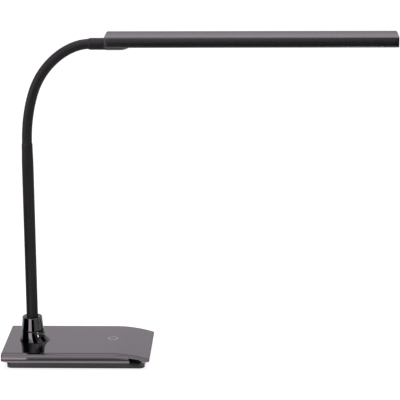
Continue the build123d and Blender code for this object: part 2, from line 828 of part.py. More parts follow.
def make_head_leads():
    """The cable's two cores, from its end in the cap to the near end of the LED board."""
    start = head_x(ferrule_grip + cable_end)
    board_under = head_bottom + housing_ceiling - led_board_thickness - lead_radius
    leads = []
    for side in (-1, 1):
        near = side * (lead_radius + core_gap / 2)
        wide = side * lead_spacing
        points = [(start, near, head_axis), (start + core_level_run, near, head_axis),
                  (head_x(led_board_start - core_reach), wide, board_under),
                  (head_x(led_board_start + core_reach), wide, board_under)]
        leads.append(wire_run(points, core_bend_radii, lead_radius))
    return leads


# ---------------------------------------------------------------------------------------------
# Assembly: one file for each node
# ---------------------------------------------------------------------------------------------

def save(name, shape):
    solids = shape if isinstance(shape, list) else [shape]
    group = Compound(children=[solid for item in solids for solid in item.solids()])
    single = group.solids()[0] if len(group.solids()) == 1 else group
    export_step(single, f"parts/{name}.step")


def main():
    os.makedirs("parts", exist_ok=True)
    ring = make_touch_ring()
    save("touch_ring", ring)
    save("base_top_shell", make_top_shell(ring))
    save("base_bottom_cover", make_bottom_cover())
    save("cover_screws", make_cover_screws())
    save("foot_pad", make_foot_pad())
    save("weight_plate", make_weight_plate())
    save("control_board", make_control_board())
    save("board_screws", make_board_screws())
    save("board_connectors", make_board_connectors())
    save("board_components", make_board_components())
    save("touch_spring", make_touch_spring())
    save("power_jack", make_power_jack())
    save("power_jack_pin", make_jack_pin())
    save("jack_leads", make_jack_leads())
    save("socket_foot", make_socket_foot())
    save("socket_sleeve", make_socket_sleeve())
    save("neck_tube", make_neck_tube())
    save("neck_collar", make_neck_collar())
    save("neck_washer", make_washer())
    save("neck_nut", make_nut())
    save("neck_sleeve_lower", make_tube_sleeve())
    save("tube_fitting", make_tube_fitting())
    save("neck_cable", make_neck_cable())
    for number, (link, sleeve) in enumerate(make_hose_links(), start=1):
        save(f"hose_link_{number:02d}", link)
        save(f"neck_sleeve_{number:02d}", sleeve)
    save("head_ferrule", make_ferrule())
    save("neck_sleeve_upper", make_ferrule_sleeve())
    save("head_neck_cap", make_neck_cap())
    save("cap_screws", make_cap_screws())
    save("ferrule_set_screw", make_set_screw())
    save("head_housing", make_housing())
    save("head_tip_cap", make_tip_cap())
    save("diffuser", make_diffuser())
    save("led_board", make_led_board())
    save("led_chips", make_leds())
    save("head_leads", make_head_leads())
    for kind, x, z, before, after, widest in stations:
        print(f"{kind} joint at x {x:.3f} z {z:.3f}, along {before:.2f} to {after:.2f} degrees")
    print(f"hose ends at x {hose_end:.3f}, head axis at z {head_axis:.3f}")


main()
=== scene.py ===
import json
import math

import bmesh
import bpy
from bpy.props import FloatProperty, FloatVectorProperty, PointerProperty
from mathutils import Matrix, Vector

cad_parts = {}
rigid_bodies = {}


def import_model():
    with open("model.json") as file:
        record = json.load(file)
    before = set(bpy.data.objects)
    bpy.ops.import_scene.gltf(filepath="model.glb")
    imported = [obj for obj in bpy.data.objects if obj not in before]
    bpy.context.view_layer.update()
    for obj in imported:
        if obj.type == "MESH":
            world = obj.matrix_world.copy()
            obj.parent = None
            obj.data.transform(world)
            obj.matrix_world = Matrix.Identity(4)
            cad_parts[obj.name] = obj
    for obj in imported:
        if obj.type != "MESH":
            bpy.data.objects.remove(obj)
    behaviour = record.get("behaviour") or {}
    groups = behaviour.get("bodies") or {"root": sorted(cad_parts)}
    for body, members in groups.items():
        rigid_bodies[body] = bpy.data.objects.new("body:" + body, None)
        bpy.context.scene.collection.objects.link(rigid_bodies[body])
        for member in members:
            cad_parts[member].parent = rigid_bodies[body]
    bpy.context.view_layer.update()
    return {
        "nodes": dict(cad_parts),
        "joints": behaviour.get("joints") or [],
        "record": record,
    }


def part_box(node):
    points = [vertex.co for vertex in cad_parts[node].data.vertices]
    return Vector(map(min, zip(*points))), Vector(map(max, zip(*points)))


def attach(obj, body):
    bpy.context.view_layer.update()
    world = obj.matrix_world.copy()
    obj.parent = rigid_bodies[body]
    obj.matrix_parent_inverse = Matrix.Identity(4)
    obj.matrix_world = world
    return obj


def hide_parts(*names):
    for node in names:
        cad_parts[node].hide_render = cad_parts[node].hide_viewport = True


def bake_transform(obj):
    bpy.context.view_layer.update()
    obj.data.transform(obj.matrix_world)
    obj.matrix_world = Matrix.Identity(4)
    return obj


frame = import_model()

bl_info = {
    "name": "Gooseneck Desk Lamp",
    "version": (1, 0, 0),
    "blender": (4, 5, 0),
    "location": "View3D > Sidebar > Lamp",
    "description": "Models the outer surfaces of a gooseneck desk lamp on its packed frame",
    "category": "Object",
}

# Places that the packed frame gives, in metres
SHELL_LOW, SHELL_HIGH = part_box("base_top_shell")
PAD_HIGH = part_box("foot_pad")[1]
FOOT_LOW, FOOT_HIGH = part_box("socket_foot")
SOCKET_LOW, SOCKET_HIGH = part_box("socket_sleeve")
TUBE_LOW, TUBE_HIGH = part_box("neck_tube")
HOUSING_LOW, HOUSING_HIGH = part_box("head_housing")
HEAD_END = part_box("head_tip_cap")[1].x
DIFFUSER_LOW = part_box("diffuser")[0]
UPPER_LOW, UPPER_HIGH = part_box("neck_sleeve_upper")
RING_LOW, RING_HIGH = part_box("touch_ring")
NECK_X = (TUBE_LOW.x + TUBE_HIGH.x) / 2
HEAD_AXIS_Z = (UPPER_LOW.z + UPPER_HIGH.z) / 2
HEAD_START = UPPER_HIGH.x
JOINTS = frame["joints"]

# Sizes that more than one piece follows, in metres
SLEEVE_GAP = 0.00015
HOSE_BORE = 0.0034
CABLE_CORE = 0.0004
WINDING_DEPTH = 0.0003
CAP_GAP = 0.00005
SLOT_GAP = 0.00015

# An edge that reaches further than this along an axis runs along it
SHORT_EDGE = 0.0001


# ---------------------------------------------------------------------------------------------
# Settings
# ---------------------------------------------------------------------------------------------

def length(name, description, default):
    return FloatProperty(name=name, description=description, default=default, min=0.0, precision=5,
                         unit="LENGTH", subtype="DISTANCE")


def colour(name, description, default):
    return FloatVectorProperty(name=name, description=description, default=default, size=3, min=0.0,
                               max=1.0, subtype="COLOR")


def amount(name, description, default):
    return FloatProperty(name=name, description=description, default=default, min=0.0)


def view_angle(name, description, degrees):
    return FloatProperty(name=name, description=description, default=math.radians(degrees),
                         subtype="ANGLE", unit="ROTATION")


class LampBaseSettings(bpy.types.PropertyGroup):
    """Sizes of the base"""

    front_radius: length("Front Radius", "Round of the shell's front edge", 0.0063)
    back_radius: length("Back Radius", "Round of the shell's back edge", 0.0016)
    inner_radius: length("Inner Radius", "Smallest round inside the shell", 0.0004)
    end_radius: length("End Radius", "Round of the shell's two end edges", 0.0012)
    corner_radius: length("Corner Radius", "Round of the shell's upright corners", 0.0040)
    droop_start: length("Droop Start", "Place along the base where its top starts to droop", 0.037)
    droop_radius: length("Droop Radius", "Radius of the drooping part of the top", 0.143)
    flare_foot: length("Flare Foot", "Height at which the cover starts to flare out", 0.0065)
    flare_height: length("Flare Height", "Rise of the flare up to the shell's edge", 0.0018)
    lip_height: length("Lip Height", "Height of the shell's front lip", 0.0100)
    lip_slope: length("Lip Slope", "How much further the lip's slope runs down than out", 0.0004)
    lip_reach: length("Lip Reach", "How far the front lip stands out below the front's round", 0.0013)
    wall: length("Shell Wall", "Thickness of the shell", 0.0024)
    ring_line: length("Touch Ring Line", "Width of the touch mark's line", 0.0008)


class LampNeckSettings(bpy.types.PropertyGroup):
    """Sizes of the neck"""

    hose_sleeve_radius: length("Hose Sleeve Radius", "Radius of the sleeve over the hose", 0.0054)
    tube_sleeve_radius: length("Tube Sleeve Radius", "Radius of the sleeve over the steel tube", 0.0063)
    collar_radius: length("Sleeve Collar Radius", "Radius of the sleeve just below its step", 0.0059)
    sleeve_wall: length("Sleeve Wall", "Thickness of the sleeve", 0.0007)
    taper: length("Taper", "Length over which the sleeve narrows below its step", 0.027)
    step: length("Step", "Length of the step in the sleeve", 0.003)
    hose_radius: length("Hose Radius", "Radius of the wound hose in the sleeve", 0.0045)
    hose_pitch: length("Hose Pitch", "Pitch of the hose's winding", 0.0022)
    cable_radius: length("Cable Radius", "Radius of the cable in the neck", 0.0013)


class LampHeadSettings(bpy.types.PropertyGroup):
    """Sizes of the head"""

    crown: length("Crown", "Rise of the head's top towards its middle", 0.0006)
    top_radius: length("Top Edge Radius", "Round of the long top edges", 0.0012)
    bottom_radius: length("Bottom Edge Radius", "Round of the long bottom edges", 0.0016)
    end_radius: length("End Radius", "Round of the caps' outer edges", 0.0010)
    bulge: length("Side Bulge", "How far the side faces bulge out at half height", 0.0004)
    wall: length("Housing Wall", "Thickness of the housing", 0.0014)
    slot_width: length("Slot Width", "Width of the slot for the light", 0.030)
    boss_radius: length("Boss Radius", "Radius of the boss that takes the neck", 0.00685)
    boss_length: length("Boss Length", "Length of the boss before its taper", 0.016)
    boss_taper: length("Boss Taper", "Length of the boss's taper", 0.013)


class LampFinishSettings(bpy.types.PropertyGroup):
    """Colours of the lamp's finishes"""

    shell: colour("Shell", "Polished plastic of the base", (0.0035, 0.003, 0.0038))
    socket: colour("Socket", "Polished plastic of the neck's socket", (0.0015, 0.0015, 0.0016))
    cover: colour("Cover", "Plastic of the bottom cover", (0.016, 0.015, 0.016))
    sleeve: colour("Sleeve", "Silicone of the neck's sleeve", (0.0125, 0.0108, 0.0130))
    head: colour("Head", "Coating of the head", (0.011, 0.0095, 0.0118))
    cap: colour("Head Caps", "Plastic of the head's caps", (0.011, 0.0095, 0.0118))
    mark: colour("Touch Mark", "Ink of the touch mark", (0.50, 0.49, 0.51))
    diffuser: colour("Diffuser", "Frosted plastic under the light", (0.84, 0.84, 0.81))


class LampStageSettings(bpy.types.PropertyGroup):
    """Camera and light"""

    lens: FloatProperty(name="Lens", description="Focal length of the camera", default=167.83, min=1.0,
                        unit="CAMERA")
    turn: view_angle("Turn", "Camera's turn about the vertical", 1.994)
    tilt: view_angle("Tilt", "Camera's tilt below the horizon", 14.301)
    roll: view_angle("Roll", "Camera's roll about its own axis", -0.422)
    place: FloatVectorProperty(name="Place", description="Where the camera stands", size=3,
                               default=(0.201563, -1.940727, 0.671045), subtype="XYZ", unit="LENGTH")
    room_light: amount("Room Light", "Strength of the light from all round", 0.38)
    top_light: amount("Top Light", "Radiance of the soft box overhead", 1.6)
    top_glow: amount("Top Glow", "Radiance overhead that shows only in gloss", 1.2)
    front_glow: amount("Front Glow", "Radiance high in front that shows only in gloss", 4.2)
    low_glow: amount("Low Glow", "Radiance lower in front that shows only in gloss", 2.4)
    wall_glow: amount("Wall Glow", "Radiance of the wall in front that shows only in gloss", 1.4)
    side_glow: amount("Side Glow", "Radiance at the left that shows only in gloss", 7.0)
    gloss_tint: colour("Gloss Tint", "Tint of the room and the lamps in gloss", (1.0, 0.915, 1.0))
    low_sky: amount("Low Sky", "Brightness in gloss near the horizon", 0.30)
    high_sky: amount("High Sky", "Brightness in gloss above the horizon", 1.12)
    strip_light: amount("Strip Light", "Radiance of the strip beside the socket", 5.5)
    corner_light: amount("Corner Light", "Radiance of the box at the front right", 24.0)
    floor: colour("Floor", "Colour of the floor", (0.45, 0.45, 0.45))
    floor_glow: amount("Floor Glow", "White that the floor adds for the camera", 0.85)


# ---------------------------------------------------------------------------------------------
# Modelling helpers
# ---------------------------------------------------------------------------------------------

def deselect_everything():
    if bpy.context.object and bpy.context.object.mode != "OBJECT":
        bpy.ops.object.mode_set(mode="OBJECT")
    bpy.ops.object.select_all(action="DESELECT")


def choose(obj):
    """Makes a piece the only selected and active one."""
    deselect_everything()
    obj.select_set(True)
    bpy.context.view_layer.objects.active = obj


def apply_place(obj):
    """Puts a piece's place, turn and size into its mesh."""
    choose(obj)
    bpy.ops.object.transform_apply(location=True, rotation=True, scale=True)
    return obj


def edit(obj):
    """Opens a piece for editing with nothing selected."""
    choose(obj)
    bpy.ops.object.mode_set(mode="EDIT")
    bpy.ops.mesh.select_mode(type="VERT")
    bpy.ops.mesh.select_all(action="DESELECT")


def leave_edit():
    bpy.ops.object.mode_set(mode="OBJECT")


def pick(kind, test):
    """Selects the vertices, edges or faces of the open piece that pass a test."""
    data = bpy.context.object.data
    bpy.ops.mesh.select_mode(type=kind)
    bpy.ops.mesh.select_all(action="DESELECT")
    form = bmesh.from_edit_mesh(data)
    for part in {"VERT": form.verts, "EDGE": form.edges, "FACE": form.faces}[kind]:
        if test(part):
            part.select_set(True)
    form.select_flush_mode()
    bmesh.update_edit_mesh(data)


def pick_all():
    bpy.ops.mesh.select_all(action="SELECT")


def middle(edge):
    return (edge.verts[0].co + edge.verts[1].co) / 2


def near(value, target, reach=1e-5):
    return abs(value - target) < reach


def extent(edge, axis):
    """How far an edge reaches along an axis: 0, 1 or 2 for x, y or z."""
    return abs(edge.verts[0].co[axis] - edge.verts[1].co[axis])


def cut(place, normal):
    """Cuts the whole open piece along a plane and keeps both sides."""
    pick_all()
    bpy.ops.mesh.bisect(plane_co=place, plane_no=normal)


def bevel(offset, segments):
    """Rounds the selected edges of the open piece."""
    bpy.ops.mesh.bevel(offset=offset, segments=segments, affect="EDGES", profile=0.5,
                       clamp_overlap=False)


def lift(rise):
    """Moves what is selected in the open piece upwards."""
    bpy.ops.transform.translate(value=(0, 0, rise))


def extrude(shift):
    """Extrudes what is selected in the open piece."""
    bpy.ops.mesh.extrude_region_move(TRANSFORM_OT_translate={"value": shift})


def close_skin(reach=1e-6):
    """Merges the open piece's doubled points, turns its faces outwards and leaves it."""
    pick_all()
    bpy.ops.mesh.remove_doubles(threshold=reach)
    bpy.ops.mesh.normals_make_consistent(inside=False)
    leave_edit()


def block(name, low, high):
    """A block between two corners, its place in its mesh."""
    deselect_everything()
    centre = [(a + b) / 2 for a, b in zip(low, high)]
    size = [b - a for a, b in zip(low, high)]
    bpy.ops.mesh.primitive_cube_add(size=1, location=centre, scale=size)
    obj = bpy.context.object
    obj.name = name
    return apply_place(obj)


def ring(name, radius, place, turn=(0, 0, 0), points=64, oval=1.0):
    """A round or oval loop of points, its place in its mesh."""
    deselect_everything()
    bpy.ops.mesh.primitive_circle_add(vertices=points, radius=radius, fill_type="NOTHING",
                                      location=place, rotation=turn)
    obj = bpy.context.object
    obj.name = name
    obj.scale = (1, oval, 1)
    return apply_place(obj)


def draw_out(steps, centre, along):
    """Extrudes the selected loop through (distance along, radius across) steps.

    The first step is where the loop stands; distances are measured from centre.
    """
    along = Vector(along)
    at, radius = steps[0]
    for next_at, next_radius in steps[1:]:
        extrude(along * (next_at - at))
        if next_radius != radius:
            share = next_radius / radius
            bpy.ops.transform.resize(value=(share, share, share),
                                     center_override=Vector(centre) + along * next_at)
        at, radius = next_at, next_radius


def turned_piece(name, steps, centre, along, points=64, closed=True):
    """A piece of revolution drawn out of a loop along a line; a closed one has both ends filled."""
    turn = Vector((0, 0, 1)).rotation_difference(Vector(along)).to_euler()
    start = Vector(centre) + Vector(along) * steps[0][0]
    obj = ring(name, steps[0][1], start, turn, points)
    edit(obj)
    pick_all()
    if closed:
        bpy.ops.mesh.edge_face_add()
        pick_all()
    draw_out(steps, centre, along)
    pick_all()
    bpy.ops.mesh.normals_make_consistent(inside=False)
    leave_edit()
    return obj


def tube_piece(name, steps, centre, along, points=64):
    """A piece of revolution whose last step comes back to its first, so that it is a closed wall."""
    obj = turned_piece(name, steps, centre, along, points, closed=False)
    edit(obj)
    close_skin()
    return obj


def add_modifier(obj, kind, **values):
    """Adds a modifier, sets it and applies it."""
    choose(obj)
    bpy.ops.object.modifier_add(type=kind)
    modifier = obj.modifiers[-1]
    for key, value in values.items():
        setattr(modifier, key, value)
    bpy.ops.object.modifier_apply(modifier=modifier.name)


def join(pieces, name):
    """Joins pieces into one, which keeps the first one's mesh name."""
    choose(pieces[0])
    for piece in pieces[1:]:
        piece.select_set(True)
    bpy.ops.object.join()
    pieces[0].name = name
    return pieces[0]


def finish_piece(obj, body, slot, replaced=(), angle=35.0, weighted=False):
    """Shades a piece, gives it its slot's finish and rides it on its body, if it has one."""
    obj.data.materials.clear()
    obj.data.materials.append(FINISHES[slot])
    choose(obj)
    bpy.ops.object.shade_smooth_by_angle(angle=math.radians(angle))
    if weighted:
        add_modifier(obj, "WEIGHTED_NORMAL", keep_sharp=True, weight=100)
    obj.data.name = obj.name
    if body:
        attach(obj, body)
    if replaced:
        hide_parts(*replaced)


# ---------------------------------------------------------------------------------------------
# Finishes
# ---------------------------------------------------------------------------------------------

class Finish:
    """A material to which textures are added one by one, in Object coordinates."""

    def __init__(self, name, base, roughness, metallic=0.0, specular=0.5):
        self.base = base
        self.material = bpy.data.materials.new(name)
        self.material.use_nodes = True
        self.nodes, self.links = self.material.node_tree.nodes, self.material.node_tree.links
        self.inputs = self.nodes["Principled BSDF"].inputs
        self.inputs["Base Color"].default_value = (*base, 1)
        self.inputs["Roughness"].default_value = roughness
        self.inputs["Metallic"].default_value = metallic
        self.inputs["Specular IOR Level"].default_value = specular
        self.coords = self.nodes.new("ShaderNodeTexCoord").outputs["Object"]

    def noise(self, scale, detail, stretch=(1, 1, 1)):
        mapping = self.nodes.new("ShaderNodeMapping")
        mapping.inputs["Scale"].default_value = stretch
        self.links.new(self.coords, mapping.inputs["Vector"])
        texture = self.nodes.new("ShaderNodeTexNoise")
        texture.inputs["Scale"].default_value = scale
        texture.inputs["Detail"].default_value = detail
        self.links.new(mapping.outputs["Vector"], texture.inputs["Vector"])
        return texture.outputs["Fac"]

    def tone(self, value, dark, light, start=0.3, end=0.7):
        """Takes the colour from one share of the base colour to another with a texture value."""
        self.links.new(tones(self.nodes, self.links, value, scaled(self.base, dark),
                             scaled(self.base, light), start, end), self.inputs["Base Color"])

    def polish(self, value, low, high):
        """Takes the roughness from low to high with a texture value."""
        self.links.new(spread(self.nodes, self.links, value, low, high), self.inputs["Roughness"])

    def relief(self, height, distance, strength):
        """Makes a texture value stand out of the surface."""
        bump = self.nodes.new("ShaderNodeBump")
        bump.inputs["Distance"].default_value = distance
        bump.inputs["Strength"].default_value = strength
        self.links.new(height, bump.inputs["Height"])
        self.links.new(bump.outputs["Normal"], self.inputs["Normal"])


def spread(nodes, links, value, low, high, start=0.3, end=0.7):
    """Maps a texture value to a range."""
    remap = nodes.new("ShaderNodeMapRange")
    remap.inputs["From Min"].default_value = start
    remap.inputs["From Max"].default_value = end
    remap.inputs["To Min"].default_value = low
    remap.inputs["To Max"].default_value = high
    links.new(value, remap.inputs["Value"])
    return remap.outputs["Result"]


def tones(nodes, links, value, dark, light, start=0.3, end=0.7):
    """Maps a texture value to a range between two colours."""
    ramp = nodes.new("ShaderNodeValToRGB")
    ramp.color_ramp.elements[0].position = start
    ramp.color_ramp.elements[0].color = (*dark, 1)
    ramp.color_ramp.elements[1].position = end
    ramp.color_ramp.elements[1].color = (*light, 1)
    links.new(value, ramp.inputs["Fac"])
    return ramp.outputs["Color"]


def scaled(base, share):
    return tuple(min(1.0, c * share) for c in base)


def polished_plastic(name, base, tint=(1, 1, 1), roughness=0.05):
    """Polished black moulding: a long soft waviness, faint polishing haze and fine handling marks."""
    finish = Finish(name, base, roughness)
    finish.inputs["IOR"].default_value = 1.5
    finish.inputs["Specular Tint"].default_value = (*tint, 1)
    finish.tone(finish.noise(18, 4), 0.85, 1.2)
    finish.polish(finish.noise(320, 2, stretch=(0.15, 1, 1)), roughness * 0.8, roughness * 1.5)
    finish.relief(finish.noise(9, 1), 0.00002, 0.35)
    return finish.material


def grained_plastic(name, base, roughness):
    """Moulding with a fine spark-eroded grain."""
    finish = Finish(name, base, roughness)
    cloud = finish.noise(40, 3)
    finish.tone(cloud, 0.85, 1.2)
    finish.polish(cloud, roughness - 0.05, roughness + 0.07)
    finish.relief(finish.noise(3800, 2), 0.000012, 0.6)
    return finish.material


def silicone(name, base):
    """Matt silicone skin with a dusty bloom and a fine grain."""
    finish = Finish(name, base, 0.55, specular=0.15)
    bloom = finish.noise(55, 5)
    finish.tone(bloom, 0.8, 1.5)
    finish.polish(bloom, 0.50, 0.62)
    finish.relief(finish.noise(1500, 3), 0.00003, 0.5)
    return finish.material


def coated_metal(name, base, roughness=0.24):
    """Satin black coat on an extrusion, with faint die lines along it."""
    finish = Finish(name, base, roughness)
    lines = finish.noise(900, 2, stretch=(0.004, 1, 1))
    finish.tone(finish.noise(22, 4), 0.88, 1.15)
    finish.polish(lines, roughness - 0.04, roughness + 0.05)
    finish.relief(lines, 0.000006, 0.5)
    return finish.material


def bright_metal(name, base, roughness, stretch=(1, 1, 0.05), scale=1200):
    """Plain metal with drawn or turned lines."""
    finish = Finish(name, base, roughness, metallic=1.0)
    lines = finish.noise(scale, 3, stretch=stretch)
    finish.tone(lines, 0.86, 1.08)
    finish.polish(lines, roughness - 0.06, roughness + 0.1)
    finish.relief(lines, 0.000005, 0.5)
    return finish.material


def printed_ink(name, base):
    """Pale ink with a slightly uneven cover."""
    finish = Finish(name, base, 0.35)
    finish.tone(finish.noise(2600, 3), 0.85, 1.06)
    return finish.material


def frosted_plastic(name, base):
    """White diffusing plastic with a fine sand-blasted skin."""
    finish = Finish(name, base, 0.48)
    finish.tone(finish.noise(30, 3), 0.97, 1.02)
    finish.inputs["Subsurface Weight"].default_value = 0.15
    finish.inputs["Subsurface Radius"].default_value = (0.002, 0.002, 0.002)
    finish.relief(finish.noise(5200, 2), 0.00001, 0.5)
    return finish.material


def closed_foam(name, base):
    """Closed-cell foam pad."""
    finish = Finish(name, base, 0.85, specular=0.2)
    cells = finish.nodes.new("ShaderNodeTexVoronoi")
    cells.inputs["Scale"].default_value = 1400
    finish.links.new(finish.coords, cells.inputs["Vector"])
    finish.tone(cells.outputs["Distance"], 1.3, 0.7, 0.1, 0.7)
    finish.relief(cells.outputs["Distance"], 0.00008, 0.7)
    return finish.material


def circuit_board(name, base, tracks):
    """Solder mask over tracks."""
    finish = Finish(name, base, 0.3)
    bricks = finish.nodes.new("ShaderNodeTexBrick")
    bricks.inputs["Scale"].default_value = 220
    bricks.inputs["Mortar Size"].default_value = 0.06
    bricks.inputs["Color1"].default_value = (*base, 1)
    bricks.inputs["Color2"].default_value = (*scaled(base, 0.9), 1)
    bricks.inputs["Mortar"].default_value = (*tracks, 1)
    finish.links.new(finish.coords, bricks.inputs["Vector"])
    finish.links.new(bricks.outputs["Color"], finish.inputs["Base Color"])
    finish.relief(bricks.outputs["Fac"], 0.00003, 0.5)
    return finish.material


def wire_skin(name, base):
    """Smooth extruded insulation."""
    finish = Finish(name, base, 0.4)
    finish.tone(finish.noise(160, 3), 0.85, 1.1)
    finish.relief(finish.noise(2500, 2), 0.00001, 0.4)
    return finish.material


FINISHES = {}


def make_finishes(look):
    """All finishes by the record's material slot."""
    FINISHES.update({
        "gloss_black_shell": polished_plastic("shell_gloss", look.shell, tint=(1.0, 0.97, 1.0)),
        "gloss_black_socket": polished_plastic("socket_gloss", look.socket, roughness=0.03),
        "black_cover": grained_plastic("cover_grain", look.cover, roughness=0.3),
        "pad_foam": closed_foam("pad_foam", (0.02, 0.02, 0.02)),
        "pale_mark": printed_ink("touch_ink", look.mark),
        "weight_steel": bright_metal("weight_steel", (0.42, 0.42, 0.43), 0.45, (1, 0.05, 1)),
        "board_green": circuit_board("board_green", (0.02, 0.13, 0.06), (0.03, 0.22, 0.09)),
        "connector_white": grained_plastic("connector_nylon", (0.72, 0.71, 0.67), 0.45),
        "component_black": grained_plastic("component_black", (0.03, 0.03, 0.03), 0.5),
        "spring_steel": bright_metal("spring_wire", (0.62, 0.62, 0.63), 0.22),
        "jack_black": grained_plastic("jack_black", (0.015, 0.015, 0.015), 0.4),
        "contact_brass": bright_metal("contact_brass", (0.75, 0.58, 0.28), 0.25, (1, 0.05, 1)),
        "lead_red": wire_skin("lead_red", (0.38, 0.02, 0.02)),
        "neck_steel": bright_metal("neck_steel", (0.42, 0.42, 0.43), 0.35),
        "fastener_zinc": bright_metal("fastener_zinc", (0.6, 0.6, 0.62), 0.32, (1, 1, 1), 400),
        "screw_black": bright_metal("screw_black", (0.05, 0.05, 0.052), 0.38, (1, 1, 1), 400),
        "cable_black": wire_skin("cable_jacket", (0.015, 0.015, 0.015)),
        "neck_silicone": silicone("neck_silicone", look.sleeve),
        "head_cap_black": grained_plastic("head_cap", look.cap, roughness=0.2),
        "head_satin_black": coated_metal("head_coat", look.head),
        "diffuser_white": frosted_plastic("diffuser_frost", look.diffuser),
        "led_board_white": circuit_board("led_board", (0.78, 0.78, 0.77), (0.7, 0.7, 0.68)),
        "led_phosphor": frosted_plastic("led_phosphor", (0.8, 0.68, 0.2)),
    })


class LAMP_OT_finishes(bpy.types.Operator):
    """Makes the finishes and gives each packed node the one its slot names"""

    bl_idname = "lamp.finishes"
    bl_label = "Finishes"

    def execute(self, context):
        make_finishes(context.scene.lamp_finishes)
        for row in frame["record"]["subparts"]:
            node = frame["nodes"][row["node"]]
            node.data.materials.clear()
            node.data.materials.append(FINISHES[row["material_slot"]])
        return {"FINISHED"}


# ---------------------------------------------------------------------------------------------
# Base
# ---------------------------------------------------------------------------------------------

def droop(x, sizes):
    """How far the top has dropped at a place along the base."""
    past = max(0.0, x - sizes.droop_start)
    return sizes.droop_radius - math.sqrt(sizes.droop_radius ** 2 - past ** 2)


def crowned_form(name, inset, sizes, end_radius):
    """The shell's form, smaller by an inset: a block whose right end droops and whose edges are round."""
    half_x = -SHELL_LOW.x - inset
    back = SHELL_HIGH.y - inset
    front = SHELL_LOW.y + inset + sizes.lip_reach
    top = SHELL_HIGH.z - inset
    floor = -0.02
    obj = block(name, (-half_x, front, floor), (half_x, back, top))
    edit(obj)
    columns = 26
    first = sizes.droop_start
    places = [first + (half_x - first) * column / columns for column in range(columns + 1)]
    for x in places[:-1]:
        cut((x, 0, 0), (1, 0, 0))
    for x in places[1:]:
        pick("VERT", lambda v: near(v.co.x, x) and v.co.z > top - SHORT_EDGE)
        lift(-droop(x, sizes))
    for edge_y, radius in ((front, sizes.front_radius), (back, sizes.back_radius)):
        pick("EDGE", lambda e: near(middle(e).y, edge_y) and middle(e).z > 0 and extent(e, 0) > SHORT_EDGE)
        bevel(max(radius - inset, sizes.inner_radius), 12)
    if end_radius:
        pick("EDGE", lambda e: near(abs(e.verts[0].co.x), half_x) and near(abs(e.verts[1].co.x), half_x)
             and e.verts[0].co.x * e.verts[1].co.x > 0 and middle(e).z > floor + 0.001
             and sum(not near(abs(f.normal.x), 1, 0.01) for f in e.link_faces) == 1)
        bevel(end_radius, 4)
    leave_edit()
    return obj


def flared_form(name, sizes):
    """Everything inside the flare of the underside, which keeps its slope all the way up."""
    tray_inset, corner_round = 0.003, 0.006
    skirt, over_top = 0.001, 0.002
    tray_x = PAD_HIGH.x + tray_inset
    tray_y = PAD_HIGH.y + tray_inset
    rise = SHELL_HIGH.z + over_top - sizes.flare_foot
    grown = (-SHELL_LOW.x - tray_x) * rise / sizes.flare_height
    obj = block(name, (-tray_x, -tray_y, sizes.flare_foot - skirt), (tray_x, tray_y, sizes.flare_foot))
    edit(obj)
    pick("EDGE", lambda e: extent(e, 2) > SHORT_EDGE)
    bevel(corner_round, 10)
    pick("FACE", lambda f: f.normal.z > 0.9)
    extrude((0, 0, rise))
    form = bmesh.from_edit_mesh(obj.data)
    for vert in form.verts:
        if vert.select:
            corner = Vector((math.copysign(tray_x - corner_round, vert.co.x),
                             math.copysign(tray_y - corner_round, vert.co.y), vert.co.z))
            vert.co += (vert.co - corner).normalized() * grown
    bmesh.update_edit_mesh(obj.data)
    leave_edit()
    return obj


def boolean(obj, other, operation):
    """Joins, cuts or meets a piece with another one, which is then removed."""
    add_modifier(obj, "BOOLEAN", object=other, operation=operation, solver="EXACT")
    bpy.data.objects.remove(other)


class LAMP_OT_base_shell(bpy.types.Operator):
    """Models the base's top shell: a crowned, drooping block, hollowed and flared underneath"""

    bl_idname = "lamp.base_shell"
    bl_label = "Base Shell"

    def execute(self, context):
        sizes = context.scene.lamp_base
        hole_radius, hole_top = 0.0049, 0.03
        shell = crowned_form("base_shell", 0.0, sizes, sizes.end_radius)
        boolean(shell, self.front_lip(sizes), "UNION")
        boolean(shell, self.rounded_plan(sizes), "INTERSECT")
        boolean(shell, flared_form("flare", sizes), "INTERSECT")
        boolean(shell, crowned_form("hollow", sizes.wall, sizes, 0.0), "DIFFERENCE")
        hole = turned_piece("hole", [(0, hole_radius), (hole_top, hole_radius)], (NECK_X, 0, 0), (0, 0, 1))
        boolean(shell, hole, "DIFFERENCE")
        finish_piece(shell, "base", "gloss_black_shell", ["base_top_shell"], angle=28, weighted=True)
        return {"FINISHED"}

    def rounded_plan(self, sizes):
        """Everything over the shell's footprint with its round upright corners."""
        reach = 0.03
        plan = block("plan", (SHELL_LOW.x, SHELL_LOW.y, -reach), (SHELL_HIGH.x, SHELL_HIGH.y, reach))
        edit(plan)
        pick("EDGE", lambda e: extent(e, 2) > SHORT_EDGE)
        bevel(sizes.corner_radius, 10)
        leave_edit()
        return plan

    def front_lip(self, sizes):
        """The sloping ledge along the front, under the round."""
        floor, edge_round = -0.02, 0.0002
        end = SHELL_HIGH.x - sizes.end_radius * 0.4
        lip = block("lip", (-end, SHELL_LOW.y, floor), (end, 0.0, sizes.lip_height))
        edit(lip)
        pick("EDGE", lambda e: near(middle(e).y, SHELL_LOW.y) and near(middle(e).z, sizes.lip_height))
        bevel(sizes.lip_reach, 1)
        pick("EDGE", lambda e: near(middle(e).y, SHELL_LOW.y)
             and near(middle(e).z, sizes.lip_height - sizes.lip_reach))
        lift(-sizes.lip_slope)
        bevel(edge_round, 3)
        leave_edit()
        return lip


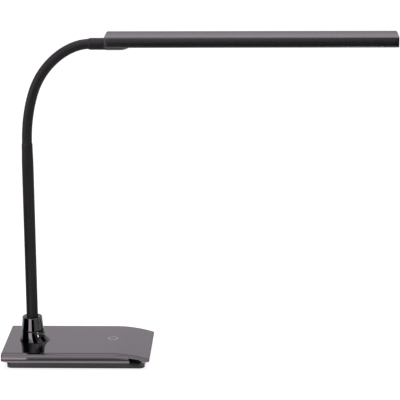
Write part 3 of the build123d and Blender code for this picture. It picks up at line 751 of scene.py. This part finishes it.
class LAMP_OT_touch_mark(bpy.types.Operator):
    """Models the touch mark, a thin ring of ink that follows the shell's top"""

    bl_idname = "lamp.touch_mark"
    bl_label = "Touch Mark"

    def execute(self, context):
        sizes = context.scene.lamp_base
        x = (RING_LOW.x + RING_HIGH.x) / 2
        y = (RING_LOW.y + RING_HIGH.y) / 2
        outer = (RING_HIGH.x - RING_LOW.x) / 2
        inner = outer - sizes.ring_line
        ink_height, ink_depth = 0.00004, 0.0002
        top = SHELL_HIGH.z + ink_height
        low = top - ink_depth
        mark = tube_piece("touch_mark", [(low, inner), (low, outer), (top, outer), (top, inner),
                                         (low, inner)], (x, y, 0), (0, 0, 1), points=72)
        for vert in mark.data.vertices:
            vert.co.z -= droop(vert.co.x, sizes)
        finish_piece(mark, "base", "pale_mark", ["touch_ring"])
        return {"FINISHED"}


# ---------------------------------------------------------------------------------------------
# Socket
# ---------------------------------------------------------------------------------------------

def oval_rings(name, rings, points=96):
    """A closed skin through level ovals: (height, middle x, half length, half width)."""
    height, x, half_length, half_width = rings[0]
    obj = ring(name, half_length, (x, 0, height), points=points, oval=half_width / half_length)
    edit(obj)
    pick_all()
    for next_height, next_x, next_length, next_width in rings[1:]:
        extrude((next_x - x, 0, next_height - height))
        bpy.ops.transform.resize(value=(next_length / half_length, next_width / half_width, 1),
                                 center_override=(next_x, 0, next_height))
        height, x, half_length, half_width = next_height, next_x, next_length, next_width
    close_skin()
    return obj


def rim_rings(rim, radius, degrees):
    """Ovals that round off an oval's edge; a negative radius rounds the lower edge of a form."""
    height, x, half_length, half_width = rim
    rings = []
    for angle in map(math.radians, degrees):
        inset = abs(radius) * (1 - math.cos(angle))
        rings.append((height - radius * (1 - math.sin(angle)), x, half_length - inset,
                      half_width - inset))
    return rings


class LAMP_OT_socket(bpy.types.Operator):
    """Models the socket round the neck's foot: an oval bell and a round sleeve above a seam"""

    bl_idname = "lamp.socket"
    bl_label = "Neck Socket"

    def execute(self, context):
        neck = context.scene.lamp_neck
        bore = neck.tube_sleeve_radius + SLEEVE_GAP
        round_off, lean = 0.00045, 0.0003
        foot = FOOT_LOW.z
        seam = SOCKET_LOW.z
        foot_x = (FOOT_LOW.x + FOOT_HIGH.x) / 2
        foot_length = (FOOT_HIGH.x - FOOT_LOW.x) / 2
        foot_width = (FOOT_HIGH.y - FOOT_LOW.y) / 2 + lean
        seam_length = (SOCKET_HIGH.x - SOCKET_LOW.x) / 2
        seam_width = (SOCKET_HIGH.y - SOCKET_LOW.y) / 2
        self.bell(bore, round_off, (foot, foot_x, foot_length, foot_width),
                  (seam, NECK_X, seam_length, seam_width - lean))
        self.collar(bore, round_off, (seam, NECK_X, seam_length, seam_width))
        return {"FINISHED"}

    def bell(self, bore, round_off, foot, seam):
        """The oval bell below the seam, between the ovals of its foot and of its top."""
        steps = 18
        bell = []
        for step in range(steps + 1):
            share = step / steps
            flare = (1 - share) ** 2.2
            bell.append((foot[0] + (seam[0] - foot[0]) * share,
                         seam[1] + (foot[1] - seam[1]) * flare,
                         seam[2] + (foot[2] - seam[2]) * flare,
                         foot[3] + (seam[3] - foot[3]) * share))
        bell = [r for r in bell if foot[0] + round_off * 1.3 < r[0] < seam[0] - round_off * 1.3]
        lip = rim_rings(foot, -round_off, (90, 65, 40, 15))
        shoulder = rim_rings(seam, round_off, (0, 30, 60, 90))
        hole = [(seam[0], NECK_X, bore, bore), (foot[0], NECK_X, bore, bore)]
        rings = lip + bell + shoulder + hole + [lip[0]]
        finish_piece(oval_rings("socket_bell", rings), "base", "gloss_black_socket", ["socket_foot"],
                     angle=40)

    def collar(self, bore, round_off, seam):
        """The round sleeve above the seam, with its dished top."""
        top = SOCKET_HIGH.z
        rim, dish, edge = 0.0109, 0.0097, 0.0006
        dish_round, dish_depth, waist = 0.0002, 0.0011, 0.00016
        start = seam[0] + round_off
        wall = []
        for step in range(1, 12):
            share = step / 12
            inset = waist * math.sin(math.pi * share)
            wall.append((start + (top - edge - start) * share, NECK_X,
                         seam[2] + (rim - seam[2]) * share - inset,
                         seam[3] + (rim - seam[3]) * share - inset))
        base = rim_rings(seam, -round_off, (90, 60, 30, 0))
        crest = rim_rings((top, NECK_X, rim, rim), edge, (0, 22, 45, 68, 90))
        inner = [(top, NECK_X, dish + dish_round, dish + dish_round),
                 (top - dish_round, NECK_X, dish, dish), (top - dish_depth, NECK_X, bore, bore)]
        rings = base + wall + crest + inner + [(seam[0], NECK_X, bore, bore), base[0]]
        finish_piece(oval_rings("socket_collar", rings), "base", "gloss_black_socket", ["socket_sleeve"],
                     angle=40)


# ---------------------------------------------------------------------------------------------
# Neck
# ---------------------------------------------------------------------------------------------

def neck_controls():
    """The bending joints in order, between the tube's top and the hose's end."""
    bends = [Vector(j["pos_m"]) for j in JOINTS if j["name"].startswith("neck_bend")]
    start = Vector((NECK_X, 0, TUBE_HIGH.z))
    last = bends[-1]
    end = last + Vector(((bends[-1] - bends[-2]).length / 2, 0, 0))
    return start, bends, end


def neck_knots():
    """The points where the neck's line touches the legs between its bending joints."""
    start, bends, end = neck_controls()
    return [start] + [(a + b) / 2 for a, b in zip(bends, bends[1:])] + [end]


def neck_point(span, share):
    """A point of the neck's line, on one of its spans."""
    knots = neck_knots()
    control = neck_controls()[1][span]
    return ((1 - share) ** 2 * knots[span] + 2 * share * (1 - share) * control
            + share ** 2 * knots[span + 1])


def neck_distance(span, share, steps=200):
    """Length of the neck's line from the tube's top to a place on it."""
    total = 0.0
    for number in range(span + 1):
        last = share if number == span else 1.0
        points = [neck_point(number, last * i / steps) for i in range(steps + 1)]
        total += sum((b - a).length for a, b in zip(points, points[1:]))
    return total


def neck_line():
    """The neck's centre line as a curve, from the tube's top to the hose's end."""
    deselect_everything()
    bpy.ops.curve.primitive_bezier_curve_add(location=(0, 0, 0))
    obj = bpy.context.object
    obj.name = "neck_line"
    curve = obj.data
    curve.dimensions = "3D"
    curve.resolution_u = 48
    knots = neck_knots()
    controls = neck_controls()[1]
    spline = curve.splines[0]
    spline.bezier_points.add(len(knots) - 2)
    for number, knot in enumerate(knots):
        point = spline.bezier_points[number]
        point.handle_left_type = point.handle_right_type = "FREE"
        point.co = knot
        before = controls[number - 1] if number else knot * 2 - controls[0]
        after = controls[number] if number < len(controls) else knot * 2 - controls[-1]
        point.handle_left = knot + (before - knot) * 2 / 3
        point.handle_right = knot + (after - knot) * 2 / 3
    return obj


def neck_stretches():
    """For each joint: its two bodies and the distances along the neck between which it bends."""
    places = []
    bend = -1
    for joint in JOINTS:
        if joint["name"].startswith("neck_bend"):
            bend += 1
            starts = (bend, 0.0) if bend % 2 == 0 else (bend, 0.25)
            ends = (bend, 0.75) if bend % 2 == 0 else (bend, 1.0)
        else:
            starts, ends = (bend, 0.75), (bend + 1, 0.25)
        places.append((joint["parent"], joint["child"], starts, ends))
    return places


def bent_piece(line, name, steps, slot, points, replaced=(), body=None):
    """A tube drawn straight and bent along the neck's line, then carried by a body if one is given and
    otherwise left in place with no body.
    """
    obj = tube_piece(name, steps, (0, 0, 0), (0, 0, 1), points)
    add_modifier(obj, "CURVE", object=line, deform_axis="POS_Z")
    finish_piece(obj, body, slot, replaced, angle=50)
    if body is None:
        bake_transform(obj)


def eased(share):
    """A share of a change that starts and ends gently."""
    return share * share * (3 - 2 * share)


def tube_steps(start, end, outer, inner, rows):
    """Steps of a closed tube wall between two distances, with rows of points along it."""
    out = [(start + (end - start) * i / rows, outer) for i in range(rows + 1)]
    back = [(end + (start - end) * i / rows, inner) for i in range(rows + 1)]
    return out + back + [out[0]]


def wound_steps(start, end, radius, pitch, inner):
    """Steps of a hose wall whose outside rises and falls with its winding."""
    turns = max(2, round((end - start) / pitch))
    out = []
    for turn in range(turns):
        low = start + (end - start) * turn / turns
        high = start + (end - start) * (turn + 1) / turns
        out += [(low, radius - WINDING_DEPTH), (low + (high - low) * 0.25, radius),
                (low + (high - low) * 0.75, radius)]
    out.append((end, radius - WINDING_DEPTH))
    back = [(end, inner), (start, inner)]
    return out + back + [out[0]]


class LAMP_OT_neck(bpy.types.Operator):
    """Models the neck: its silicone sleeve, the wound hose and the cable, one stretch for each joint"""

    bl_idname = "lamp.neck"
    bl_label = "Neck"

    def execute(self, context):
        sizes = context.scene.lamp_neck
        line = neck_line()
        *stretches, last = neck_stretches()
        links = sorted(n for n in frame["nodes"] if n.startswith("hose_link"))
        sleeves = sorted(n for n in frame["nodes"] if n.startswith("neck_sleeve_") and n[-1].isdigit())
        row_length = 0.0009
        for pair, bend in enumerate(stretches):
            start = neck_distance(*bend[2])
            end = neck_distance(*bend[3])
            self.layers(line, sizes, bend, f"bend_{pair + 1:02d}", start, end, end,
                        rows=max(6, round((end - start) / row_length)),
                        replaced=(sleeves[pair:pair + 1], links[pair:pair + 1]))
        self.last_stretch(line, sizes, last)
        bpy.data.objects.remove(line)
        return {"FINISHED"}

    def layers(self, line, sizes, bend, label, start, end, skin_end, rows, replaced=((), ()), body=None):
        """The sleeve, the hose and the cable between two distances along the neck."""
        outer = sizes.hose_sleeve_radius
        bent_piece(line, f"sleeve_{label}",
                   tube_steps(start, skin_end, outer, outer - sizes.sleeve_wall, rows),
                   "neck_silicone", 64, replaced[0], body)
        bent_piece(line, f"hose_{label}",
                   wound_steps(start, end, sizes.hose_radius, sizes.hose_pitch, HOSE_BORE),
                   "neck_steel", 32, replaced[1], body)
        bent_piece(line, f"cable_{label}", tube_steps(start, end, sizes.cable_radius, CABLE_CORE, 8),
                   "cable_black", 16, body=body)

    def last_stretch(self, line, sizes, bend):
        """The stretch at the head, split at its joint: a half on each body and a ball in the gap."""
        parent, child, start, end = bend
        joint = neck_distance(start[0], 0.5)
        gap = 0.0008
        for label, body, first, last, skin_end in (
                ("end_link", parent, neck_distance(*start), joint - gap, joint - gap),
                ("end_head", child, joint + gap, neck_distance(*end), neck_distance(*end) - sizes.step)):
            self.layers(line, sizes, bend, label, first, last, skin_end, rows=8, body=body)
        reach, ball_bore, ball_inset = 0.0030, 0.0042, 0.00002
        ball = sizes.hose_sleeve_radius - ball_inset
        heights = [reach * (i / 8 - 1) for i in range(17)]
        arc = [(h, math.sqrt(ball * ball - h * h)) for h in heights]
        along = neck_point(start[0], 0.6) - neck_point(start[0], 0.4)
        obj = tube_piece("sleeve_end_ball", arc + [(reach, ball_bore), (-reach, ball_bore), arc[0]],
                         neck_point(start[0], 0.5), along.normalized(), points=64)
        finish_piece(obj, child, "neck_silicone", angle=50)


class LAMP_OT_neck_ends(bpy.types.Operator):
    """Models the rigid ends of the neck: sleeve, hose ends and cable below and above the hose"""

    bl_idname = "lamp.neck_ends"
    bl_label = "Neck Ends"

    def execute(self, context):
        sizes = context.scene.lamp_neck
        self.sleeve_ends(sizes)
        self.hose_ends()
        self.head_cable(sizes)
        self.base_cable(sizes)
        return {"FINISHED"}

    def sleeve_ends(self, sizes):
        """The sleeve over the steel tube, up to its step, and the sleeve at the head."""
        inner = sizes.hose_sleeve_radius - sizes.sleeve_wall
        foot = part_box("neck_sleeve_lower")[0].z
        top = TUBE_HIGH.z
        full, collar, slim = sizes.tube_sleeve_radius, sizes.collar_radius, sizes.hose_sleeve_radius
        out = [(foot, full)]
        out += [(foot + (top - sizes.taper - foot) * i / 40, full) for i in range(1, 41)]
        out += [(top - sizes.taper + (sizes.taper - sizes.step) * i / 12,
                 full + (collar - full) * eased(i / 12)) for i in range(1, 13)]
        out += [(top - sizes.step + sizes.step * i / 8, collar + (slim - collar) * eased(i / 8))
                for i in range(1, 9)]
        lower = tube_piece("sleeve_lower", out + [(top, inner), (foot, inner), out[0]],
                           (NECK_X, 0, 0), (0, 0, 1), points=64)
        finish_piece(lower, "base", "neck_silicone", ["neck_sleeve_lower"], angle=50)

        end = neck_controls()[2].x
        overlap, tuck = 0.0005, 0.00015
        out = [(end - sizes.step - overlap, slim - tuck)]
        out += [(end - sizes.step * (1 - i / 8), slim + (full - slim) * eased(i / 8)) for i in range(9)]
        out += [(end + (HEAD_START - end) * i / 10, full) for i in range(1, 11)]
        upper = tube_piece("sleeve_upper", out + [(HEAD_START, inner), (out[0][0], inner), out[0]],
                           (0, 0, HEAD_AXIS_Z), (1, 0, 0), points=64)
        finish_piece(upper, "head", "neck_silicone", ["neck_sleeve_upper"], angle=50)

    def hose_ends(self):
        """The fittings at the two ends of the hose."""
        bore = 0.0019
        low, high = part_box("tube_fitting")[0].z, TUBE_HIGH.z
        radius, edge, edge_length = 0.00315, 0.0030, 0.0004
        steps = [(low, edge), (low + edge_length, radius), (high - edge_length, radius), (high, edge),
                 (high, bore), (low, bore), (low, edge)]
        root = tube_piece("hose_root", steps, (NECK_X, 0, 0), (0, 0, 1), points=32)
        finish_piece(root, "base", "neck_steel", ["tube_fitting"])
        low, high = neck_controls()[2].x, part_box("head_ferrule")[1].x
        radius, edge, edge_length = 0.0046, 0.0041, 0.0005
        steps = [(low, radius), (high - edge_length, radius), (high, edge), (high, bore), (low, bore),
                 (low, radius)]
        tip = tube_piece("hose_tip", steps, (0, 0, HEAD_AXIS_Z), (1, 0, 0), points=32)
        finish_piece(tip, "head", "neck_steel", ["head_ferrule"])

    def head_cable(self, sizes):
        """The cable from the hose's end into the head."""
        end = neck_controls()[2]
        run = Vector((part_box("neck_cable")[1].x, 0, HEAD_AXIS_Z)) - end
        plug = tube_piece("cable_head_end",
                          tube_steps(end.x, end.x + run.length, sizes.cable_radius, CABLE_CORE, 6),
                          (0, 0, HEAD_AXIS_Z), (1, 0, 0), points=16)
        finish_piece(plug, "head", "cable_black")

    def base_cable(self, sizes):
        """The cable from the board, along the tray and up the tube."""
        connector_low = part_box("board_connectors")[0]
        plug_height = 0.0016
        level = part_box("neck_cable")[0].z + sizes.cable_radius
        lead = connector_low.z + plug_height
        deselect_everything()
        bpy.ops.curve.primitive_nurbs_path_add(location=(0, 0, 0))
        obj = bpy.context.object
        obj.name = "cable_base_end"
        path = obj.data
        path.splines.clear()
        x = connector_low.x
        route = [(x, lead), (x - 0.004, lead), (x - 0.009, lead - 0.001), (x - 0.015, level + 0.0005),
                 (x - 0.022, level), (x - 0.03, level), (NECK_X + 0.008, level), (NECK_X, level),
                 (NECK_X, level + 0.008), (NECK_X, level + 0.03), (NECK_X, level + 0.1),
                 (NECK_X, TUBE_HIGH.z)]
        spline = path.splines.new("NURBS")
        spline.points.add(len(route) - 1)
        for point, (px, pz) in zip(spline.points, route):
            point.co = (px, 0, pz, 1)
        spline.order_u = 3
        spline.use_endpoint_u = True
        path.bevel_depth = sizes.cable_radius
        path.bevel_resolution = 4
        path.resolution_u = 10
        path.use_fill_caps = True
        choose(obj)
        bpy.ops.object.convert(target="MESH")
        obj = bpy.context.object
        edit(obj)
        close_skin(1e-7)
        apply_place(obj)
        finish_piece(obj, "base", "cable_black", ["neck_cable"], angle=50)


# ---------------------------------------------------------------------------------------------
# Head
# ---------------------------------------------------------------------------------------------

def crowned_bar(name, start, end, sizes):
    """A length of the head's outer section: a slightly crowned bar with round long edges."""
    half = HOUSING_HIGH.y
    low = HOUSING_LOW.z
    side_top = HOUSING_HIGH.z - sizes.crown
    centre = (low + side_top) / 2
    obj = block(name, (start, -half, low), (end, half, side_top))
    edit(obj)
    rows = 12
    places = [-half + 2 * half * row / rows for row in range(1, rows)]
    for y in places:
        cut((0, y, 0), (0, 1, 0))
    radius = (half ** 2 + sizes.crown ** 2) / (2 * sizes.crown)
    for y in places:
        rise = math.sqrt(radius ** 2 - y ** 2) - (radius - sizes.crown)
        pick("VERT", lambda v: near(v.co.y, y) and near(v.co.z, side_top))
        lift(rise)
    pick("EDGE", lambda e: near(abs(middle(e).y), half) and extent(e, 0) > SHORT_EDGE
         and middle(e).z > centre)
    bevel(sizes.top_radius, 5)
    pick("EDGE", lambda e: near(abs(middle(e).y), half) and extent(e, 0) > SHORT_EDGE
         and near(middle(e).z, low))
    bevel(sizes.bottom_radius, 6)
    levels = 6
    for level in range(1, levels):
        cut((0, 0, low + sizes.bottom_radius
             + (side_top - low - sizes.bottom_radius - sizes.top_radius) * level / levels), (0, 0, 1))
    leave_edit()
    margin = 0.004
    for vert in obj.data.vertices:
        outer = max(0.0, abs(vert.co.y) - half + margin) / margin
        fall = ((vert.co.z - centre) / (side_top - centre)) ** 2
        vert.co.y -= math.copysign(sizes.bulge * fall * outer, vert.co.y)
    return obj


class LAMP_OT_head_housing(bpy.types.Operator):
    """Models the head's housing: a crowned bar, opened by the light's slot and given its wall"""

    bl_idname = "lamp.head_housing"
    bl_label = "Head Housing"

    def execute(self, context):
        sizes = context.scene.lamp_head
        housing = crowned_bar("housing_bar", HOUSING_LOW.x, HOUSING_HIGH.x, sizes)
        edit(housing)
        half_slot = sizes.slot_width / 2
        cut((0, -half_slot, 0), (0, 1, 0))
        cut((0, half_slot, 0), (0, 1, 0))
        pick("FACE", lambda f: f.normal.z < -0.9 and abs(f.calc_center_median().y) < half_slot)
        bpy.ops.mesh.delete(type="FACE")
        pick("FACE", lambda f: abs(f.normal.x) > 0.9)
        bpy.ops.mesh.delete(type="FACE")
        for share in (0.25, 0.5, 0.75):
            cut((HOUSING_LOW.x + (HOUSING_HIGH.x - HOUSING_LOW.x) * share, 0, 0), (1, 0, 0))
        leave_edit()
        add_modifier(housing, "SOLIDIFY", thickness=sizes.wall, offset=-1, use_even_offset=False)
        finish_piece(housing, "head", "head_satin_black", ["head_housing"], angle=30, weighted=True)
        return {"FINISHED"}


def round_end(obj, x, radius):
    """Rounds the rim of a cap's outer face."""
    edit(obj)
    pick("EDGE", lambda e: near(e.verts[0].co.x, x) and near(e.verts[1].co.x, x)
         and sum(near(abs(f.normal.x), 1, 0.01) for f in e.link_faces) == 1)
    bevel(radius, 4)
    leave_edit()


class LAMP_OT_head_caps(bpy.types.Operator):
    """Models the head's two end caps, with the boss that takes the neck"""

    bl_idname = "lamp.head_caps"
    bl_label = "Head Caps"

    def execute(self, context):
        sizes = context.scene.lamp_head
        plate = self.end_plate("cap_plate", HEAD_START, HOUSING_LOW.x - CAP_GAP, HEAD_START, sizes)
        half = sizes.slot_width / 2 - SLOT_GAP
        thickness, overlap, edge_round = 0.0016, 0.001, 0.0002
        floor = block("cap_floor", (HOUSING_LOW.x - overlap, -half, HOUSING_LOW.z),
                      (DIFFUSER_LOW.x, half, HOUSING_LOW.z + thickness))
        edit(floor)
        pick("EDGE", lambda e: near(middle(e).z, HOUSING_LOW.z))
        bevel(edge_round, 2)
        leave_edit()
        cap = join([plate, floor, self.boss(sizes)], "neck_cap")
        finish_piece(cap, "head", "head_cap_black", ["head_neck_cap"], angle=38)
        tip_cap = self.end_plate("tip_cap", HOUSING_HIGH.x + CAP_GAP, HEAD_END, HEAD_END, sizes)
        finish_piece(tip_cap, "head", "head_cap_black", ["head_tip_cap"], angle=38, weighted=True)
        return {"FINISHED"}

    def end_plate(self, name, start, end, outside, sizes):
        """A short length of the head's section with its outer rim rounded."""
        plate = crowned_bar(name, start, end, sizes)
        merge_faces(plate, start)
        merge_faces(plate, end)
        round_end(plate, outside, sizes.end_radius)
        return plate

    def boss(self, sizes):
        """The round boss that takes the neck, with its taper under the head."""
        radius, straight, taper = sizes.boss_radius, sizes.boss_length, sizes.boss_taper
        lip, tip = 0.0004, 0.0012
        steps = [(0, radius - lip), (lip * 0.3, radius - lip * 0.3), (lip, radius)]
        steps += [(lip + (straight - lip) * i / 6, radius) for i in range(1, 7)]
        steps += [(straight + taper * i / 14, radius - (radius - tip) * (i / 14) ** 2)
                  for i in range(1, 14)]
        steps += [(straight + taper * 0.985, tip * 1.25), (straight + taper, tip * 0.5)]
        return turned_piece("cap_boss", steps, (HEAD_START, 0, HEAD_AXIS_Z), (1, 0, 0), points=64)


def merge_faces(obj, x):
    """Makes one face of an end that the crown's cuts have divided."""
    edit(obj)
    pick("FACE", lambda f: near(f.calc_center_median().x, x, 2e-5) and abs(f.normal.x) > 0.99)
    bpy.ops.mesh.dissolve_faces()
    leave_edit()


class LAMP_OT_diffuser(bpy.types.Operator):
    """Models the frosted strip in the light's slot"""

    bl_idname = "lamp.diffuser"
    bl_label = "Diffuser"

    def execute(self, context):
        sizes = context.scene.lamp_head
        half = sizes.slot_width / 2 - SLOT_GAP
        low = DIFFUSER_LOW.z
        thickness, flange, edge_round = 0.0012, 0.0018, 0.00025
        strip = block("diffuser_strip", (DIFFUSER_LOW.x, -half, low),
                      (HOUSING_HIGH.x, half, low + thickness))
        edit(strip)
        pick("FACE", lambda f: f.normal.z > 0.9)
        extrude((0, 0, thickness))
        pick("FACE", lambda f: abs(f.normal.y) > 0.9 and f.calc_center_median().z > low + thickness)
        bpy.ops.mesh.extrude_faces_move(
            MESH_OT_extrude_faces_indiv={}, TRANSFORM_OT_shrink_fatten={"value": flange})
        pick("EDGE", lambda e: near(middle(e).z, low))
        bevel(edge_round, 3)
        leave_edit()
        finish_piece(strip, "head", "diffuser_white", ["diffuser"], angle=30)
        return {"FINISHED"}


# ---------------------------------------------------------------------------------------------
# Stage
# ---------------------------------------------------------------------------------------------

def soft_box(name, place, aim, size, radiance, lights=True):
    """A rectangular lamp of a given radiance; one that lights nothing shows only in gloss."""
    deselect_everything()
    bpy.ops.object.light_add(type="AREA", location=place)
    lamp = bpy.context.object
    lamp.name = name
    lamp.data.shape = "RECTANGLE"
    lamp.data.size, lamp.data.size_y = size
    lamp.data.energy = radiance * math.pi * size[0] * size[1]
    lamp.rotation_euler = (Vector(aim) - Vector(place)).to_track_quat("-Z", "Y").to_euler()
    lamp.visible_camera = False
    if not lights:
        lamp.data.color = bpy.context.scene.lamp_stage.gloss_tint
        lamp.visible_diffuse = False


def dark_card(name, corners, material):
    """A black card that only gloss sees, through four corners."""
    deselect_everything()
    bpy.ops.mesh.primitive_plane_add(size=2, location=(0, 0, 0))
    card = bpy.context.object
    card.name = name
    for vert, corner in zip(card.data.vertices, corners):
        vert.co = corner
    card.data.materials.append(material)
    card.visible_camera = card.visible_diffuse = card.visible_shadow = False


def upright(start, end, low, high):
    """The corners of an upright card between two places on the floor and two heights."""
    return [(place[0], place[1], height) for height in (low, high) for place in (start, end)]


def shown_to_eye(nodes, links):
    """1 for rays from the camera, from gloss and through glass, and 0 for the rest."""
    path = nodes.new("ShaderNodeLightPath")
    total = path.outputs["Is Camera Ray"]
    for name in ("Is Glossy Ray", "Is Transmission Ray"):
        add = nodes.new("ShaderNodeMath")
        add.operation = "MAXIMUM"
        links.new(total, add.inputs[0])
        links.new(path.outputs[name], add.inputs[1])
        total = add.outputs[0]
    return total


class LAMP_OT_stage(bpy.types.Operator):
    """Sets up the floor, the light and the camera"""

    bl_idname = "lamp.stage"
    bl_label = "Stage"

    def execute(self, context):
        stage = context.scene.lamp_stage
        self.floor(stage)
        self.room(context.scene, stage)
        self.lamps(stage)
        self.cards()
        deselect_everything()
        bpy.ops.object.camera_add(location=stage.place)
        camera = bpy.context.object
        camera.name = "lamp_camera"
        camera.data.sensor_fit = "HORIZONTAL"
        camera.data.sensor_width = 36.0
        camera.data.lens = stage.lens
        camera.data.clip_start, camera.data.clip_end = 0.05, 50.0
        turn = (Matrix.Rotation(stage.turn, 4, "Z") @ Matrix.Rotation(math.pi / 2 - stage.tilt, 4, "X")
                @ Matrix.Rotation(stage.roll, 4, "Z"))
        camera.rotation_euler = turn.to_euler()
        context.scene.camera = camera
        context.scene.view_settings.view_transform = "Standard"
        return {"FINISHED"}

    def around_socket(self, degrees, distance, height=0.0):
        """A place round the socket, by its angle from the line to the camera and its distance."""
        camera = bpy.context.scene.lamp_stage.place
        line = Vector((camera[0] - NECK_X, camera[1], 0)).normalized()
        place = Matrix.Rotation(math.radians(degrees), 3, "Z") @ line * distance
        return place + Vector((NECK_X, 0, height))

    def lamps(self, stage):
        soft_box("top_soft_box", (0.1, 0.1, 1.5), (0.1, 0.1, 0.0), (1.8, 1.5), stage.top_light)
        wall_x, socket_height = -0.35, 0.03
        at_socket = self.around_socket(0, 0, socket_height)
        for name, place, aim, size, radiance in (
                ("top_glow", (0.1, 0.0, 1.49), (0.1, 0.0, 0.0), (1.8, 1.7), stage.top_glow),
                ("front_glow", (0.1, -1.225, 1.49), (0.1, -1.225, 0.0), (1.8, 0.75), stage.front_glow),
                ("low_glow", (0.1, -2.15, 1.49), (0.1, -2.15, 0.0), (1.8, 1.1), stage.low_glow),
                ("front_wall", (wall_x, -2.8, 0.85), (wall_x, 0.0, 0.85), (1.5, 1.0), stage.wall_glow),
                ("left_glow", (-0.9, -0.45, 0.45), (0.0, 0.0, 0.3), (0.5, 0.6), stage.side_glow),
                ("strip_light", self.around_socket(-27, 0.135, socket_height), at_socket, (0.068, 0.06),
                 stage.strip_light),
                ("corner_light", self.around_socket(43, 0.5, 0.05), at_socket, (0.08, 0.06),
                 stage.corner_light)):
            soft_box(name, place, aim, size, radiance, lights=False)

    def cards(self):
        """Black cards round the lamp that show only in its gloss."""
        card = Finish("card_black", (0.004, 0.004, 0.004), 1.0, specular=0.0)
        card.tone(card.noise(900, 2), 0.75, 1.25)
        place = self.around_socket
        clear, low = 0.003, 0.0006
        left, front = SHELL_LOW.x - clear, SHELL_LOW.y - clear
        for name, corners in (
                ("card_left", upright(place(-44, 0.13), place(-108, 0.13), 0, 0.2)),
                ("card_right", upright(place(60, 0.6), place(105, 0.6), 0.13, 0.6)),
                ("card_socket", upright((NECK_X - 0.002, SHELL_LOW.y + 0.0065),
                                        (NECK_X + 0.017, SHELL_LOW.y + 0.0065), 0.0176, 0.040)),
                ("card_corner", upright((0.0580, SHELL_LOW.y - 0.0035),
                                        (0.0715, SHELL_LOW.y - 0.0035), 0.001, 0.0195)),
                ("card_side_floor", ((-0.3, front, low), (left, front, low), (-0.3, 0.03, low),
                                     (left, 0.03, low))),
                ("card_far_floor", ((-0.4, -4.0, low), (1.6, -4.0, low), (-0.1, -0.7, low),
                                    (1.6, -0.7, low)))):
            dark_card(name, corners, card.material)

    def floor(self, stage):
        deselect_everything()
        bpy.ops.mesh.primitive_grid_add(x_subdivisions=8, y_subdivisions=8, size=30, location=(0, 0, 0))
        floor = bpy.context.object
        floor.name = "floor"
        paper = Finish("floor_paper", stage.floor, 0.9, specular=0.0)
        paper.tone(paper.noise(700, 3), 0.99, 1.0)
        glow = paper.nodes.new("ShaderNodeMath")
        glow.operation = "MULTIPLY"
        paper.links.new(shown_to_eye(paper.nodes, paper.links), glow.inputs[0])
        glow.inputs[1].default_value = stage.floor_glow
        paper.inputs["Emission Color"].default_value = (1, 1, 1, 1)
        paper.links.new(glow.outputs[0], paper.inputs["Emission Strength"])
        floor.data.materials.append(paper.material)

    def room(self, scene, stage):
        world = bpy.data.worlds.new("room")
        scene.world = world
        world.use_nodes = True
        nodes, links = world.node_tree.nodes, world.node_tree.links
        background = nodes["Background"]
        path = nodes.new("ShaderNodeLightPath")
        links.new(tones(nodes, links, path.outputs["Is Glossy Ray"], (1, 1, 1), stage.gloss_tint, 0.0, 1.0),
                  background.inputs["Color"])
        strength = nodes.new("ShaderNodeMapRange")
        links.new(shown_to_eye(nodes, links), strength.inputs["Value"])
        strength.inputs["To Min"].default_value = stage.room_light
        coords = nodes.new("ShaderNodeTexCoord")
        height = nodes.new("ShaderNodeSeparateXYZ")
        links.new(coords.outputs["Generated"], height.inputs["Vector"])
        sky = spread(nodes, links, height.outputs["Z"], stage.low_sky, stage.high_sky, 0.12, 0.28)
        links.new(sky, strength.inputs["To Max"])
        links.new(strength.outputs["Result"], background.inputs["Strength"])


# ---------------------------------------------------------------------------------------------
# Panel and running
# ---------------------------------------------------------------------------------------------

STEPS = ("finishes", "base_shell", "touch_mark", "socket", "neck", "neck_ends", "head_housing",
         "head_caps", "diffuser", "stage")
SETTINGS = (("lamp_base", LampBaseSettings), ("lamp_neck", LampNeckSettings),
            ("lamp_head", LampHeadSettings), ("lamp_finishes", LampFinishSettings),
            ("lamp_stage", LampStageSettings))


class LAMP_PT_panel(bpy.types.Panel):
    """Lists the lamp's sizes, colours and making steps"""

    bl_idname = "LAMP_PT_panel"
    bl_label = "Desk Lamp"
    bl_space_type = "VIEW_3D"
    bl_region_type = "UI"
    bl_category = "Lamp"

    def draw(self, context):
        for name, group in SETTINGS:
            box = self.layout.box()
            settings = getattr(context.scene, name)
            box.label(text=group.__doc__)
            for key in group.__annotations__:
                box.prop(settings, key)
        for step in STEPS:
            self.layout.operator(f"lamp.{step}")


CLASSES = (LampBaseSettings, LampNeckSettings, LampHeadSettings, LampFinishSettings, LampStageSettings,
           LAMP_OT_finishes, LAMP_OT_base_shell, LAMP_OT_touch_mark, LAMP_OT_socket, LAMP_OT_neck,
           LAMP_OT_neck_ends, LAMP_OT_head_housing, LAMP_OT_head_caps, LAMP_OT_diffuser, LAMP_OT_stage,
           LAMP_PT_panel)


def register():
    for item in CLASSES:
        bpy.utils.register_class(item)
    for name, group in SETTINGS:
        setattr(bpy.types.Scene, name, PointerProperty(type=group))


def unregister():
    for name, group in SETTINGS:
        delattr(bpy.types.Scene, name)
    for item in reversed(CLASSES):
        bpy.utils.unregister_class(item)


def main():
    register()
    for step in STEPS:
        getattr(bpy.ops.lamp, step)()


if __name__ == "__main__":
    main()
